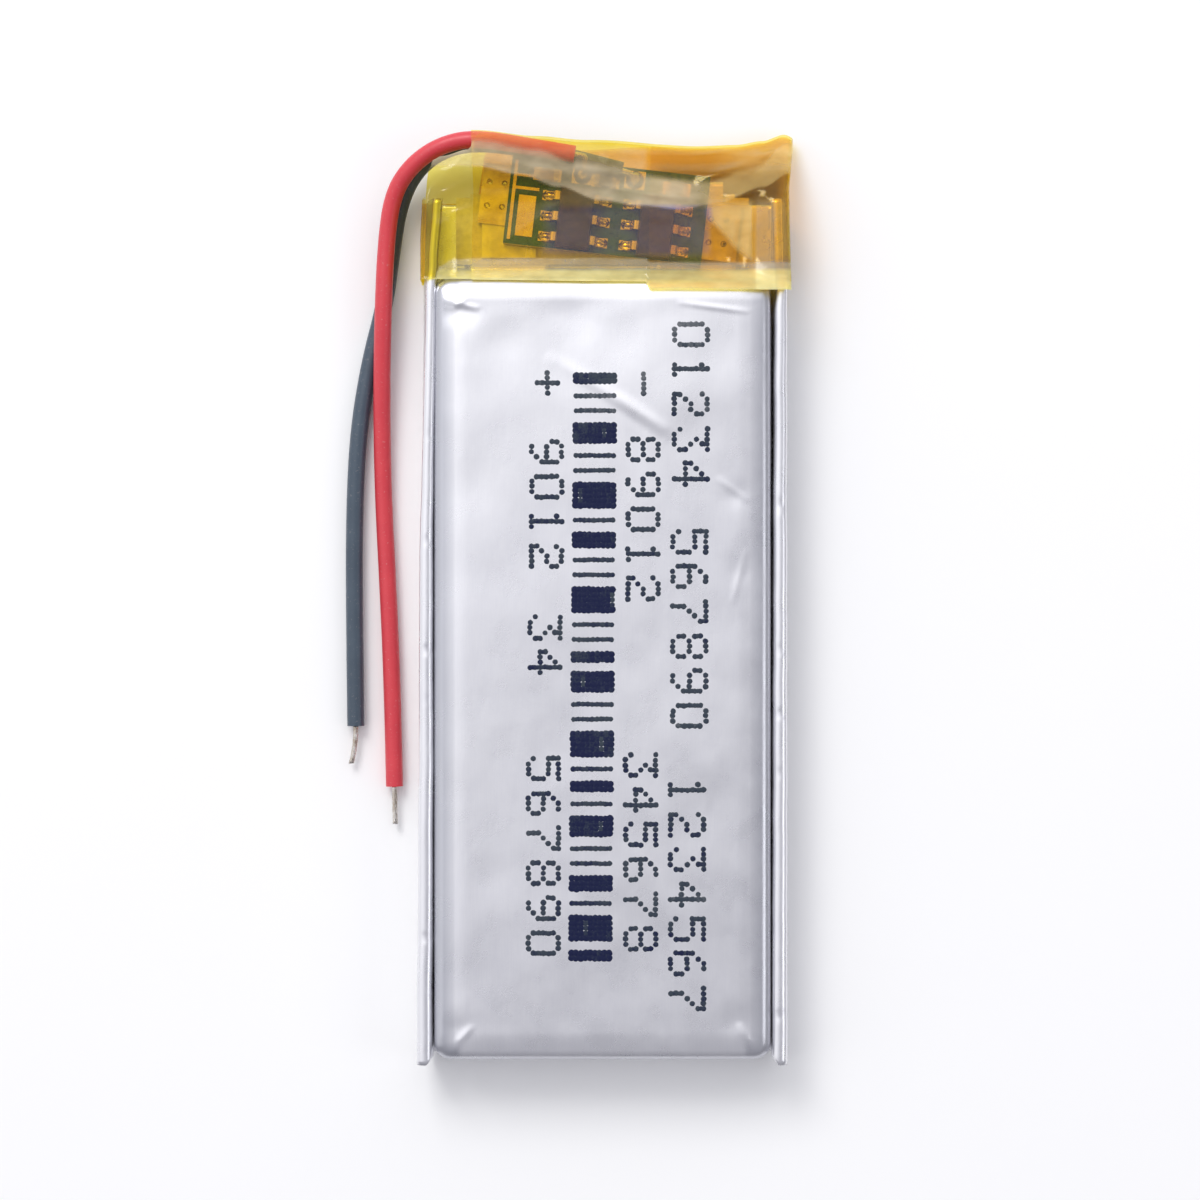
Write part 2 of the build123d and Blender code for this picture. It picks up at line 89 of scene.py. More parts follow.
# Control points of each lead's line, from the end that is soldered to the board to the cut end
POSITIVE_ROUTE = [
    (-1.27, 20.25, 2.85),
    (-3.55, 20.64, 2.85),
    (-5.90, 21.02, 2.78),
    (-7.50, 20.70, 2.52),
    (-8.85, 19.80, 2.14),
    (-9.70, 18.50, 1.74),
    (-10.02, 16.30, 1.36),
    (-10.16, 13.10, 1.34),
    (-10.26, 9.20, 0.78),
    (-10.22, 4.90, 0.42),
    (-9.98, 0.30, 0.42),
    (-9.78, -4.30, 0.42),
    (-9.68, -8.85, 0.42),
]
NEGATIVE_ROUTE = [
    (0.90, 19.60, 2.03),
    (-1.25, 20.19, 2.02),
    (-3.60, 20.66, 2.00),
    (-5.95, 20.95, 1.82),
    (-7.57, 20.58, 1.50),
    (-8.78, 19.58, 1.14),
    (-9.47, 18.05, 0.78),
    (-9.80, 16.00, 0.50),
    (-10.12, 13.60, 0.42),
    (-10.86, 10.80, 0.42),
    (-11.40, 7.40, 0.42),
    (-11.56, 3.20, 0.42),
    (-11.54, -1.50, 0.42),
    (-11.48, -6.04, 0.42),
]


def link(name, data):
    """Puts new object data in the scene."""
    made = bpy.data.objects.new(name, data)
    SCENE.collection.objects.link(made)
    return made


def mesh_object(name, vertices, faces):
    """A smooth-shaded mesh object from millimetre points."""
    mesh = bpy.data.meshes.new(name)
    mesh.from_pydata([Vector(v) * MM for v in vertices], [], faces)
    mesh.validate()
    mesh.update()
    mesh.polygons.foreach_set("use_smooth", [True] * len(mesh.polygons))
    return link(name, mesh)


def declare(piece, replaced=None):
    """Hangs a piece on the root body and hides the CAD node it stands in for."""
    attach(piece, "root")
    if replaced is not None:
        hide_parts(replaced)
    return piece


def store(piece, name, values):
    """Keeps one number for each point of a mesh, for its material to read."""
    layer = piece.data.attributes.new(name, "FLOAT", "POINT")
    layer.data.foreach_set("value", values)


def turn_outwards(piece, weld=False):
    """Makes a mesh's normals agree, after joining the points that coincide."""
    mesh = bmesh.new()
    mesh.from_mesh(piece.data)
    if weld:
        bmesh.ops.remove_doubles(mesh, verts=mesh.verts, dist=0.0005 * MM)
    bmesh.ops.recalc_face_normals(mesh, faces=mesh.faces)
    mesh.to_mesh(piece.data)
    mesh.free()


def round_point(centre, first, second, radius, turn):
    """A point on a circle that lies in the plane of two directions."""
    return centre + (first * math.cos(turn) + second * math.sin(turn)) * radius


def lead_curve(name, points):
    """A lead's insulation: a smooth NURBS line with a round bevel."""
    curve = bpy.data.curves.new(name, "CURVE")
    curve.dimensions = "3D"
    spline = curve.splines.new("NURBS")
    spline.points.add(len(points) - 1)
    for control, point in zip(spline.points, points):
        control.co = (*(Vector(point) * MM), 1.0)
        control.radius = LEAD_DIAMETER / 2 * MM
    spline.order_u = 3
    spline.use_endpoint_u = True
    spline.resolution_u = 12
    curve.bevel_depth = 1.0
    curve.bevel_resolution = 8
    curve.use_fill_caps = True
    return link(name, curve)


def twisted_end(name, start, direction, length, sideways):
    """A stripped end: fine strands twisted together, fused by solder and bent a little sideways."""
    steps, sides = 28, 8
    axis = Vector(direction).normalized()
    across = axis.cross(Vector((0, 0, 1))).normalized()
    above = across.cross(axis)
    vertices, faces = [], []
    for index in range(STRANDS):
        orbit = 0.0 if index == 0 else STRAND_ORBIT
        first = len(vertices)
        for step in range(steps + 1):
            along = step / steps
            twist = 2 * math.pi * (index / (STRANDS - 1) + TWIST_TURNS * along)
            reach = length * along * (1.0 - 0.03 * (index % 3) * (along > 0.9))
            middle = Vector(start) + axis * reach + across * sideways * along ** 2
            middle = round_point(middle, across, above, orbit, twist)
            for side in range(sides):
                turn = 2 * math.pi * side / sides
                vertices.append(round_point(middle, across, above, STRAND_RADIUS, turn))
        for step in range(steps):
            for side in range(sides):
                a = first + step * sides + side
                b = first + step * sides + (side + 1) % sides
                faces.append((a, b, b + sides, a + sides))
        faces.append([first + side for side in reversed(range(sides))])
        faces.append([first + steps * sides + side for side in range(sides)])
    return mesh_object(name, vertices, faces)


def make_leads():
    """Both free leads with their bare ends."""
    made = {}
    for name, coat, route, length, bend in (
        ("positive_lead", "red_insulation", POSITIVE_ROUTE, 37.0, 0.0),
        ("negative_lead", "black_insulation", NEGATIVE_ROUTE, 36.2, 0.24),
    ):
        insulation = lead_curve(name + "_insulation", route)
        direction = Vector(route[-1]) - Vector(route[-2])
        bare = twisted_end(name + "_bare_end", route[-1], direction, BARE_LENGTH, bend)
        declare(insulation, name)
        declare(bare, name + "_tip")
        made[name] = (insulation, bare)
    return made


leads = make_leads()


# ---------------- shaping helpers

def smooth_step(low, high, value):
    """0 below low, 1 above high, and a smooth ramp between."""
    t = min(max((value - low) / (high - low), 0.0), 1.0)
    return t * t * (3 - 2 * t)


def bell(distance, width):
    """A soft bump of height 1 and the given half width."""
    return math.exp(-(distance / width) ** 2)


def profile(keys, at):
    """A smooth line through (position, value) keys."""
    if at <= keys[0][0]:
        return keys[0][1]
    for (a, low), (b, high) in zip(keys, keys[1:]):
        if at <= b:
            return low + (high - low) * smooth_step(a, b, at)
    return keys[-1][1]


def ripple(x, y, z, size, seed=0.0):
    """Smooth noise from -1 to 1 whose features are about size millimetres."""
    return noise.noise(Vector((x / size + seed, y / size - seed, z / size + 2 * seed)))


def crease(x, y, start, end, width):
    """How near a point is to a fold line, fading out towards both of its ends."""
    line = Vector(end) - Vector(start)
    offset = Vector((x, y)) - Vector(start)
    along = offset.dot(line) / line.length_squared
    if not 0 < along < 1:
        return 0.0
    across = (offset - line * along).length
    return bell(across, width) * math.sin(math.pi * along) ** 0.6


def grid_faces(first, columns, rows, flip=False):
    """Faces of a grid of points that are stored row by row from a first one."""
    width = columns + 1
    corners = (first + row * width + column for row in range(rows) for column in range(columns))
    quads = [(a, a + 1, a + width + 1, a + width) for a in corners]
    return [quad[::-1] for quad in quads] if flip else quads


# ---------------- pouch body

BODY_HALF = 7.7
BODY_ENDS = (-21.2, 15.3)
END_SLOPE = 0.8
BODY_FRONT = 3.5
BODY_CORNER = 0.75
FACE_INSET = 1.0
FRONT_EDGE = 0.46
BACK_EDGE = 0.25
SEAL_PLANE = (0.2, 0.43)
BODY_MIDDLE = sum(BODY_ENDS) / 2
BODY_REACH = (BODY_ENDS[1] - BODY_ENDS[0]) / 2
# How much of the sides' painted shade each side's rim gets; it greys the rounded rims where they would catch
# a highlight
PAINTED_SHADE_LEFT, PAINTED_SHADE_RIGHT = 1.0, 0.75

# Shallow marks in the foil: (x, y, radius, depth)
DENTS = [
    (-6.4, 13.2, 0.8, 0.07), (-1.4, 12.7, 1.7, 0.06), (1.1, 12.0, 1.3, 0.05), (-4.6, 11.6, 1.2, 0.03),
    (5.6, 11.8, 1.5, 0.045), (6.1, 4.6, 0.5, 0.03),
    (6.4, 1.2, 0.7, 0.035), (-5.9, 5.4, 1.1, 0.03), (-1.2, -3.4, 2.2, 0.02), (4.9, -9.5, 1.3, 0.03),
    (-5.2, -12.8, 1.0, 0.03), (0.8, -16.2, 1.9, 0.03), (6.0, -19.4, 0.7, 0.05), (-6.6, -19.8, 0.6, 0.05),
]
# Sharp little folds: (start, end, half width, height)
FOLDS = [
    ((-2.6, 11.0), (3.2, 7.3), 0.34, 0.045), ((-2.2, 10.6), (2.8, 7.1), 0.22, -0.020),
    ((-7.2, 14.1), (-5.6, 13.4), 0.20, 0.05), ((0.6, 9.2), (3.0, 7.5), 0.22, 0.030),
    ((-7.0, 13.3), (-6.2, 14.2), 0.12, 0.04), ((5.2, 5.4), (6.7, 4.3), 0.14, 0.025),
    ((5.9, -0.4), (6.6, 2.2), 0.12, 0.02), ((-6.8, -20.6), (-5.9, -19.6), 0.15, 0.04),
    ((6.9, -20.7), (6.2, -19.5), 0.15, 0.04), ((3.4, 13.9), (6.8, 13.2), 0.18, 0.03),
]


def body_relief(x, y):
    """How far the front face stands above or below flat: crown, dents, folds and a slow waviness."""
    across, along = abs(x) / BODY_HALF, abs(y - BODY_MIDDLE) / BODY_REACH
    height = -0.08 * across ** 3 - 0.05 * along ** 5
    height -= 0.10 * smooth_step(0.80, 1.0, across) + 0.09 * smooth_step(0.93, 1.0, along)
    upper = 0.6 + 0.8 * smooth_step(2.0, 12.0, y)
    height += upper * (0.065 * ripple(x, y, 0, 5.2, 1.3) + 0.016 * ripple(x, y, 0, 2.1, 4.1))
    for dent_x, dent_y, radius, depth in DENTS:
        height -= depth * bell(math.hypot(x - dent_x, y - dent_y), radius)
    for start, end, width, rise in FOLDS:
        height += rise * crease(x, y, start, end, width)
    return height


def skin_levels():
    """(inset, z, painted shade at the ends, and at the sides) down the body's skin, from front to back; the
    painted shade greys the rounded front edge where it would catch a highlight.
    """
    levels = [(FACE_INSET, BODY_FRONT, 0.0, 0.0), (0.85, BODY_FRONT, 0.0, 0.4)]
    for step in range(9):
        turn = math.radians(90 * step / 8)
        inset, drop = FRONT_EDGE * (1 - math.sin(turn)), FRONT_EDGE * (1 - math.cos(turn))
        levels.append((inset, BODY_FRONT - drop, bell(90 * step / 8 - 64, 26), 1.0))
    wall_top, wall_foot = BODY_FRONT - FRONT_EDGE, BACK_EDGE + 0.02
    levels += [(0.0, wall_top + (wall_foot - wall_top) * step / 7, 0.0, 0.0) for step in range(1, 8)]
    for step in range(1, 5):
        turn = math.radians(90 * step / 4)
        levels.append((BACK_EDGE * (1 - math.cos(turn)), wall_foot - BACK_EDGE * math.sin(turn), 0.0, 0.0))
    levels += [(0.6, 0.01, 0.0, 0.0), (FACE_INSET, 0.0, 0.0, 0.0)]
    return levels


def outline(inset, columns, rows, corner_steps):
    """Points round the body's outline at one inset, anticlockwise from the lower left corner."""
    radius = max(BODY_CORNER - inset, 0.0)
    half_x, half_y = BODY_HALF - inset, BODY_REACH - inset
    points = []
    for quarter, (sign_x, sign_y) in enumerate(((-1, -1), (1, -1), (1, 1), (-1, 1))):
        centre = (sign_x * (half_x - radius), sign_y * (half_y - radius))
        for step in range(corner_steps + 1):
            turn = math.radians(180 + 90 * quarter + 90 * step / corner_steps)
            points.append((centre[0] + radius * math.cos(turn), centre[1] + radius * math.sin(turn)))
        start = points[-1]
        spans = ((half_x - radius) * 2, (half_y - radius) * 2)
        count, span = (columns, spans[0]) if quarter % 2 == 0 else (rows, spans[1])
        step_x, step_y = ((1, 0), (0, 1), (-1, 0), (0, -1))[quarter]
        for step in range(1, count):
            reach = span * step / count
            points.append((start[0] + step_x * reach, start[1] + step_y * reach))
    return points


def wall_relief(x, y, z):
    """The drawn wall's outward belly against the folded seals, its ripples and the gathers at its corners."""
    corner = smooth_step(5.9, 7.6, abs(x)) * smooth_step(15.9, 17.7, abs(y - BODY_MIDDLE))
    belly = math.sin(math.pi * min(max((z - 0.3) / 2.9, 0.0), 1.0))
    gather = 0.045 * corner * math.sin(9 * math.atan2(y - BODY_MIDDLE, x * 2.3))
    free = 1 - smooth_step(12.5, 14.5, y)
    return belly * (0.08 * free - 0.04 * (1 - free) + 0.02 * ripple(x, y, 0, 1.1, 7.7) + gather)


def make_body():
    """The filled cup and the flat back as one closed skin of laminate."""
    columns, rows, corner_steps = 120, 280, 12
    levels = skin_levels()
    vertices, faces, rings, painted_shade = [], [], [], []
    for inset, z, end_shade, side_shade in levels:
        first = len(vertices)
        points = outline(inset, columns, rows, corner_steps)
        vertices += [(x, y + BODY_MIDDLE, z) for x, y in points]
        # Painted shade: the rounded front edge, and most of all the sides' rims, is greyed where it would
        # catch a highlight.
        for x, _ in points:
            beside = smooth_step(BODY_HALF - 1.3, BODY_HALF - 1.0, abs(x))
            rim = max(end_shade, side_shade * (PAINTED_SHADE_LEFT if x < 0 else PAINTED_SHADE_RIGHT))
            painted_shade.append(end_shade + (rim - end_shade) * beside)
        rings.append((first, len(points)))
    for (upper, count), (lower, _) in zip(rings, rings[1:]):
        for index in range(count):
            after = (index + 1) % count
            faces.append((upper + index, lower + index, lower + after, upper + after))
    for z, inset, upward in ((levels[0][1], levels[0][0], True), (levels[-1][1], levels[-1][0], False)):
        first = len(vertices)
        half_x, half_y = BODY_HALF - inset, BODY_REACH - inset
        for row in range(rows + 1):
            for column in range(columns + 1):
                x, y = half_x * (2 * column / columns - 1), half_y * (2 * row / rows - 1)
                vertices.append((x, y + BODY_MIDDLE, z))
        faces += grid_faces(first, columns, rows, flip=not upward)
    shaped = []
    for x, y, z in vertices:
        front = smooth_step(2.5, 3.45, z)
        back = 1 - smooth_step(0.0, 0.3, z)
        normal = Vector((x / BODY_HALF, (y - BODY_MIDDLE) / BODY_REACH))
        side_x = math.copysign(abs(normal.x) ** 8, x)
        side_y = math.copysign(abs(normal.y) ** 20, y - BODY_MIDDLE)
        push = wall_relief(x, y, z) * (1 - front) * (1 - back)
        lift = back * (0.05 * (abs(x) / BODY_HALF) ** 4 + 0.012 * (1 + ripple(x, y, 0, 4.0, 9.0)))
        lift += back * 0.22 * smooth_step(14.2, 14.6, y)
        rise = max(z - SEAL_PLANE[1], 0.0) / (BODY_FRONT - SEAL_PLANE[1])
        slope = END_SLOPE * rise * smooth_step(12.0, 15.3, y)
        shaped.append((x + side_x * push, y + side_y * push - slope, z + front * body_relief(x, y) + lift))
    painted_shade += [0.0] * (len(shaped) - len(painted_shade))
    skin = mesh_object("pouch_body", shaped, faces)
    store(skin, "painted_shade", painted_shade)
    turn_outwards(skin, weld=True)
    return declare(skin, "pouch_cup")


body = make_body()


# ---------------- seals

WING_ENDS = (-21.48, 18.2)
WING_ROOT = 7.8
WING_HEIGHT = 2.62
FOLD_HEIGHT = 0.51
INNER_FOLD, OUTER_FOLD, CREST_OUT = 0.08, 0.31, 0.54
CUT_HEIGHT = 0.9
TAB_X = 4.35
TIP_LEFT = [(-21.5, 8.53), (0.0, 8.40), (14.1, 8.08), (15.2, 7.94), (18.2, 7.74)]
TIP_RIGHT = [(-21.5, 8.50), (14.1, 8.47), (15.2, 8.27), (18.2, 8.20)]
# How far the crest of each side seal swells towards the body
SWELL_LEFT = [(-21.5, 0.27), (-9.0, 0.24), (0.0, 0.19), (9.0, 0.06), (13.0, 0.0)]
SWELL_RIGHT = [(-21.5, 0.26), (-9.0, 0.22), (0.0, 0.19), (9.0, 0.15), (13.0, 0.12), (14.4, 0.0)]


def wing_section(tip_x, height, swell):
    """Points round a doubled side seal: up its outer face, over its rounded crest and down its inner face."""
    lean = math.asin(min(max((tip_x - WING_ROOT - CREST_OUT) / height, -0.28), 0.3))
    along = Vector((math.sin(lean), math.cos(lean)))
    outwards = Vector((math.cos(lean), -math.sin(lean)))
    centre = Vector((WING_ROOT, FOLD_HEIGHT))
    turn = math.pi / 2 - lean

    def bend(radius, steps):
        angles = [-math.pi / 2 + turn * step / steps for step in range(steps + 1)]
        return [centre + Vector((math.cos(angle), math.sin(angle))) * radius for angle in angles]

    def at(out, up):
        return centre + outwards * out + along * up

    inner = INNER_FOLD - swell
    middle, half = (CREST_OUT + inner) / 2, (CREST_OUT - inner) / 2
    section = [Vector((WING_ROOT - 0.4, SEAL_PLANE[0])), *bend(OUTER_FOLD, 6)]
    section += [at(OUTER_FOLD, CUT_HEIGHT / 2), at(OUTER_FOLD + 0.005, CUT_HEIGHT - 0.02),
                at(OUTER_FOLD + 0.03, CUT_HEIGHT)]
    section += [at(CREST_OUT - 0.01, CUT_HEIGHT - 0.03), at(CREST_OUT + 0.02, CUT_HEIGHT)]
    section += [at(CREST_OUT, CUT_HEIGHT + (height - half - CUT_HEIGHT) * step / 6) for step in range(1, 7)]
    for step in range(1, 12):
        angle = math.pi * step / 12
        section.append(at(middle + half * math.cos(angle), height - half + half * math.sin(angle) ** 0.8))
    section += [at(INNER_FOLD - swell * smooth_step(0.5, 0.9, step / 8), (height - half) * step / 8)
                for step in range(8, 0, -1)]
    section += bend(INNER_FOLD, 4)[::-1]
    section.append(Vector((WING_ROOT - 0.4, SEAL_PLANE[1])))
    return section


def wing(side, tips, swells):
    """Vertices and faces of one folded side seal, wavy along its length and cut at a slant at its foot."""
    stations = 190
    vertices, faces = [], []
    for station in range(stations + 1):
        y = WING_ENDS[0] + (WING_ENDS[1] - WING_ENDS[0]) * station / stations
        seed = 3.0 if side > 0 else 11.0
        wave = 0.035 * ripple(y, seed, 0, 3.1) + 0.012 * ripple(y, seed, 0, 0.9)
        nick = 0.04 * smooth_step(0.45, 0.6, ripple(y, seed, 5, 0.55))
        taped = smooth_step(13.8, 15.0, y)
        height = WING_HEIGHT + 0.05 * ripple(y, seed, 2, 6.0) - nick - 0.06 * taped
        section = wing_section(profile(tips, y) + wave * (1 - 0.5 * taped), height, profile(swells, y))
        foot = 1 - smooth_step(0.0, 0.5, y - WING_ENDS[0])
        for point in section:
            slant = 0.37 * min(max((8.04 - point.x) / 0.25, 0.0), 1.0) * foot
            vertices.append((side * point.x, y + slant, point.y))
    count = len(section)
    for station in range(stations):
        for index in range(count):
            after = (index + 1) % count
            a, b = station * count + index, station * count + after
            faces.append((a, b, b + count, a + count))
    faces.append([index for index in reversed(range(count))])
    faces.append([stations * count + index for index in range(count)])
    return vertices, faces


def top_seal():
    """The flat seal above the body, raised over each tab and marked by the seal bar."""
    columns, rows = 120, 30
    ends = (14.2, 18.2)
    vertices, faces = [], []
    for lower in (False, True):
        for row in range(rows + 1):
            for column in range(columns + 1):
                x = -WING_ROOT + 2 * WING_ROOT * column / columns
                y = ends[0] + (ends[1] - ends[0]) * row / rows
                edge = 0.03 * ripple(x, 0, 0, 1.7, 5.0) * smooth_step(0.8, 1.0, row / rows)
                over_tab = max(1 - smooth_step(1.75, 2.05, abs(abs(x) - TAB_X)), 0.0)
                rise = 0.22 * over_tab
                z = SEAL_PLANE[0] if lower else SEAL_PLANE[1] + rise + 0.015 * ripple(x, y, 0, 1.2, 2.0)
                vertices.append((x, y + edge, z))
    width, size = columns + 1, (columns + 1) * (rows + 1)
    faces += grid_faces(0, columns, rows) + grid_faces(size, columns, rows, flip=True)
    for column in range(columns):
        front, back = column, rows * width + column
        faces.append((front + 1, front, size + front, size + front + 1))
        faces.append((back, back + 1, size + back + 1, size + back))
    for row in range(rows):
        left, right = row * width, row * width + columns
        faces.append((left, left + width, size + left + width, size + left))
        faces.append((right + width, right, size + right, size + right + width))
    return vertices, faces


def make_seals():
    """Both folded side seals and the flat top seal."""
    vertices, faces = [], []
    wings = (wing(-1, TIP_LEFT, SWELL_LEFT), wing(1, TIP_RIGHT, SWELL_RIGHT))
    for part_vertices, part_faces in (*wings, top_seal()):
        first = len(vertices)
        vertices += part_vertices
        faces += [[first + index for index in face] for face in part_faces]
    folded = mesh_object("pouch_seals", vertices, faces)
    # Painted shade on the left seal's crest where the tape begins, to darken its glint.
    store(folded, "painted_shade", [0.8 * smooth_step(14.2, 14.9, y) * (x < -7.4) * (z > 1.5)
                             for x, y, z in vertices])
    turn_outwards(folded)
    return declare(folded, "pouch_back")


seals = make_seals()


# ---------------- tape

FILM_STEP = 0.06
FILM_BACK = 0.13
FILM_CORNER = 0.25
FIRST_START_X = 2.05
SECOND_START_X = -5.9
FILM_LEFT = [(14.1, -8.30), (16.2, -8.30), (18.3, -8.22), (21.5, -8.36)]
FILM_RIGHT = [(14.1, 8.50), (18.2, 8.42), (21.2, 8.66)]
# Height of the front film over the leads' side and over the far side of the board
FRONT_OVER_LEADS = [(14.1, 3.46), (14.25, 3.38), (14.45, 3.18), (14.8, 3.00), (15.6, 2.80), (17.5, 2.77),
                    (18.6, 2.92), (19.5, 3.16), (20.3, 3.32), (21.1, 3.33), (21.5, 3.22)]
FRONT_OVER_BOARD = [(14.1, 3.46), (14.25, 3.38), (14.45, 3.18), (14.8, 3.00), (15.7, 2.80), (18.2, 2.77),
                    (19.3, 2.46), (20.2, 1.70), (20.9, 1.05), (21.5, 0.85)]
WING_TOP = 3.16
# Milkiness of film that is stuck down flat, and of the film round the sides and the back
CLEAR_HAZE, BACK_HAZE = 0.01, 0.06
# Lower and upper edge of the loose, milky fold across the board, and of the corner left open for the leads
LOOSE_FOLD_LOW = [(-5.7, 19.63), (-3.8, 19.26), (-1.96, 18.71), (-0.1, 18.11), (1.7, 17.88), (3.6, 17.70),
                  (5.4, 18.02), (7.3, 18.71), (8.6, 19.4)]
LOOSE_FOLD_HIGH = [(-5.7, 20.78), (-2.9, 20.32), (-1.3, 19.72), (4.5, 18.94), (6.8, 19.5), (8.6, 20.9)]
OPEN_CORNER = [(-8.18, 18.57), (-7.95, 19.5), (-7.7, 19.95), (-7.33, 20.1), (-6.1, 20.4), (-5.8, 20.9),
               (-5.5, 21.35)]
# Upper edge of the grey band over the body's sloping end, and of the yellow wedge stuck down on it; the grey
# is painted shade and the yellow a painted highlight, both in the film's milky colour
SHOULDER_TOP = [(-7.7, 14.5), (-7.45, 15.1), (-6.9, 15.42), (-6.0, 15.5), (1.9, 15.48), (2.2, 15.3),
                (8.6, 15.3)]
WEDGE_TOP = [(-7.3, 14.40), (-6.4, 14.72), (-4.0, 14.92), (1.9, 15.0), (2.2, 14.86), (8.6, 14.86)]
# Upper edge of the film at its back corner and along its top
BACK_CORNER = [(-5.95, 18.3), (-5.45, 20.6), (-5.1, 21.4)]
TAPE_TOP_EDGE = [(-5.8, 21.28), (-3.0, 21.00), (-0.8, 20.82), (1.8, 20.95), (4.2, 20.84), (6.0, 20.90),
                 (7.2, 21.08), (8.2, 21.40), (8.7, 21.24)]
# Long wrinkles in the front film: (start, end, half width, height)
WRINKLES = [
    ((4.2, 18.9), (8.8, 20.9), 0.22, 0.16), ((3.0, 19.9), (8.2, 21.2), 0.18, 0.08),
    ((5.6, 18.2), (8.3, 19.0), 0.20, 0.08), ((-7.3, 14.6), (-7.1, 17.6), 0.10, 0.06),
    ((-6.7, 14.7), (-6.5, 17.4), 0.09, 0.05), ((-7.9, 17.2), (-5.8, 17.9), 0.14, 0.08),
    ((-7.9, 14.8), (-0.5, 14.75), 0.12, 0.06), ((0.5, 14.9), (7.6, 14.7), 0.12, 0.06),
    ((6.6, 14.8), (6.9, 18.0), 0.16, 0.07), ((5.9, 15.2), (6.1, 17.4), 0.12, 0.05),
    ((-5.6, 20.0), (-1.4, 19.3), 0.20, 0.06), ((-1.0, 18.9), (4.5, 18.1), 0.16, 0.06),
    ((-8.0, 18.5), (-6.2, 20.2), 0.14, 0.07), ((-7.6, 18.3), (-5.9, 19.2), 0.12, 0.06),
    ((-7.9, 19.3), (-6.0, 19.8), 0.10, 0.05), ((-6.4, 15.6), (-6.3, 17.2), 0.08, 0.05),
]


def front_height(x, y):
    """Height of the film over the front: shoulder, board parts, leads and the wings' tips."""
    far = smooth_step(-0.6, 2.6, x)
    height = profile(FRONT_OVER_LEADS, y) * (1 - far) + profile(FRONT_OVER_BOARD, y) * far
    beside = smooth_step(6.9, 7.9, abs(x)) * (1 - smooth_step(17.9, 19.0, y))
    height += (WING_TOP - height) * beside * smooth_step(14.3, 14.9, y)
    for start, end, width, rise in WRINKLES:
        height += rise * crease(x, y, start, end, width)
    loose = smooth_step(14.6, 15.2, y)
    return height + loose * (0.022 * ripple(x, y, 0, 1.3, 2.2) + 0.008 * ripple(x, y, 0, 0.45, 6.1))


def within(start, end, fade, at):
    """1 between start and end, falling to 0 within fade outside them."""
    return smooth_step(start - fade, start, at) * (1 - smooth_step(end, end + fade, at))


def film_haze(x, y):
    """How milky the front film is: clear where it is stuck down, cloudy where air is under it, and cloudy too
    over the body's sloping end and beside the right wing, to carry the painted shade and painted highlight of
    its milky colour.
    """
    fold_low, fold_high = profile(LOOSE_FOLD_LOW, x), profile(LOOSE_FOLD_HIGH, x)
    fold = smooth_step(fold_low - 0.05, fold_low + 0.10, y)
    fold *= (1 - smooth_step(fold_high - 0.15, fold_high + 0.25, y)) * (1 - 0.5 * smooth_step(3.4, 5.0, x))
    # The shoulder and wedge masks carry the milky colour's painted shade (grey band) and painted highlight
    # (yellow wedge).
    shoulder_top = profile(SHOULDER_TOP, x) + 0.03 * ripple(x, 0, 0, 1.1, 8.3)
    shoulder = 1 - smooth_step(shoulder_top - 0.10, shoulder_top + 0.04, y)
    wedge_top = profile(WEDGE_TOP, x) + 0.04 * ripple(x, 0, 0, 0.9, 5.3)
    wedge = (1 - smooth_step(wedge_top - 0.12, wedge_top + 0.08, y)) * (1 - 0.60 * smooth_step(2.0, 2.2, x))
    over_dark = smooth_step(-1.4, -1.2, x) * (1 - smooth_step(1.8, 2.2, x)) * within(19.7, 20.5, 0.3, y)
    over_red = (1 - smooth_step(-1.5, -1.2, x)) * smooth_step(fold_high, fold_high + 0.3, y)
    over_packages = smooth_step(-3.0, -2.4, x) * (1 - smooth_step(4.8, 5.1, x))
    over_packages *= smooth_step(15.4, 15.8, y) * (1 - smooth_step(18.2, 18.8, y))
    flare = smooth_step(-0.1, 0.35, (y - 17.2) + (x - 4.84) + 0.2 * ripple(x, y, 0, 0.8, 3.3))
    flare *= smooth_step(4.6, 5.0, x) * (1 - smooth_step(6.75, 7.0, x)) * (1 - smooth_step(17.6, 18.4, y))
    far_corner = smooth_step(4.6, 7.2, x) * smooth_step(19.2, 20.2, y)
    # The column mask carries the milky colour's painted shade over the gap beside the right wing.
    column = smooth_step(6.9, 7.1, x) * (1 - smooth_step(17.6, 18.4, y)) * (1.7 if x < 7.9 else 1.0)
    patch_edge = (x + 2.1) * 0.563 - (y - 17.9) * 0.826
    patch = (1 - smooth_step(-0.10, 0.05, patch_edge)) * smooth_step(-4.55, -4.4, x)
    patch *= smooth_step(16.1, 16.3, y) * (1 - smooth_step(17.9, 18.2, y))
    shares = ((0.37, fold), (0.32, shoulder * (1 - wedge)), (0.46, wedge), (0.05, patch), (0.36, flare),
              (0.17, far_corner), (0.13, column), (0.07, over_packages), (0.18, over_dark), (0.10, over_red))
    return min(1.0, CLEAR_HAZE + sum(share * where for share, where in shares))


def film_path():
    """The places round one turn of tape: (run, share of the run), clockwise from the front's left end."""
    counts = {"front": 150, "front_right": 5, "right": 12, "back_right": 5,
              "back": 50, "back_left": 5, "left": 12, "front_left": 5}
    return [(run, step / count) for run, count in counts.items() for step in range(count)]


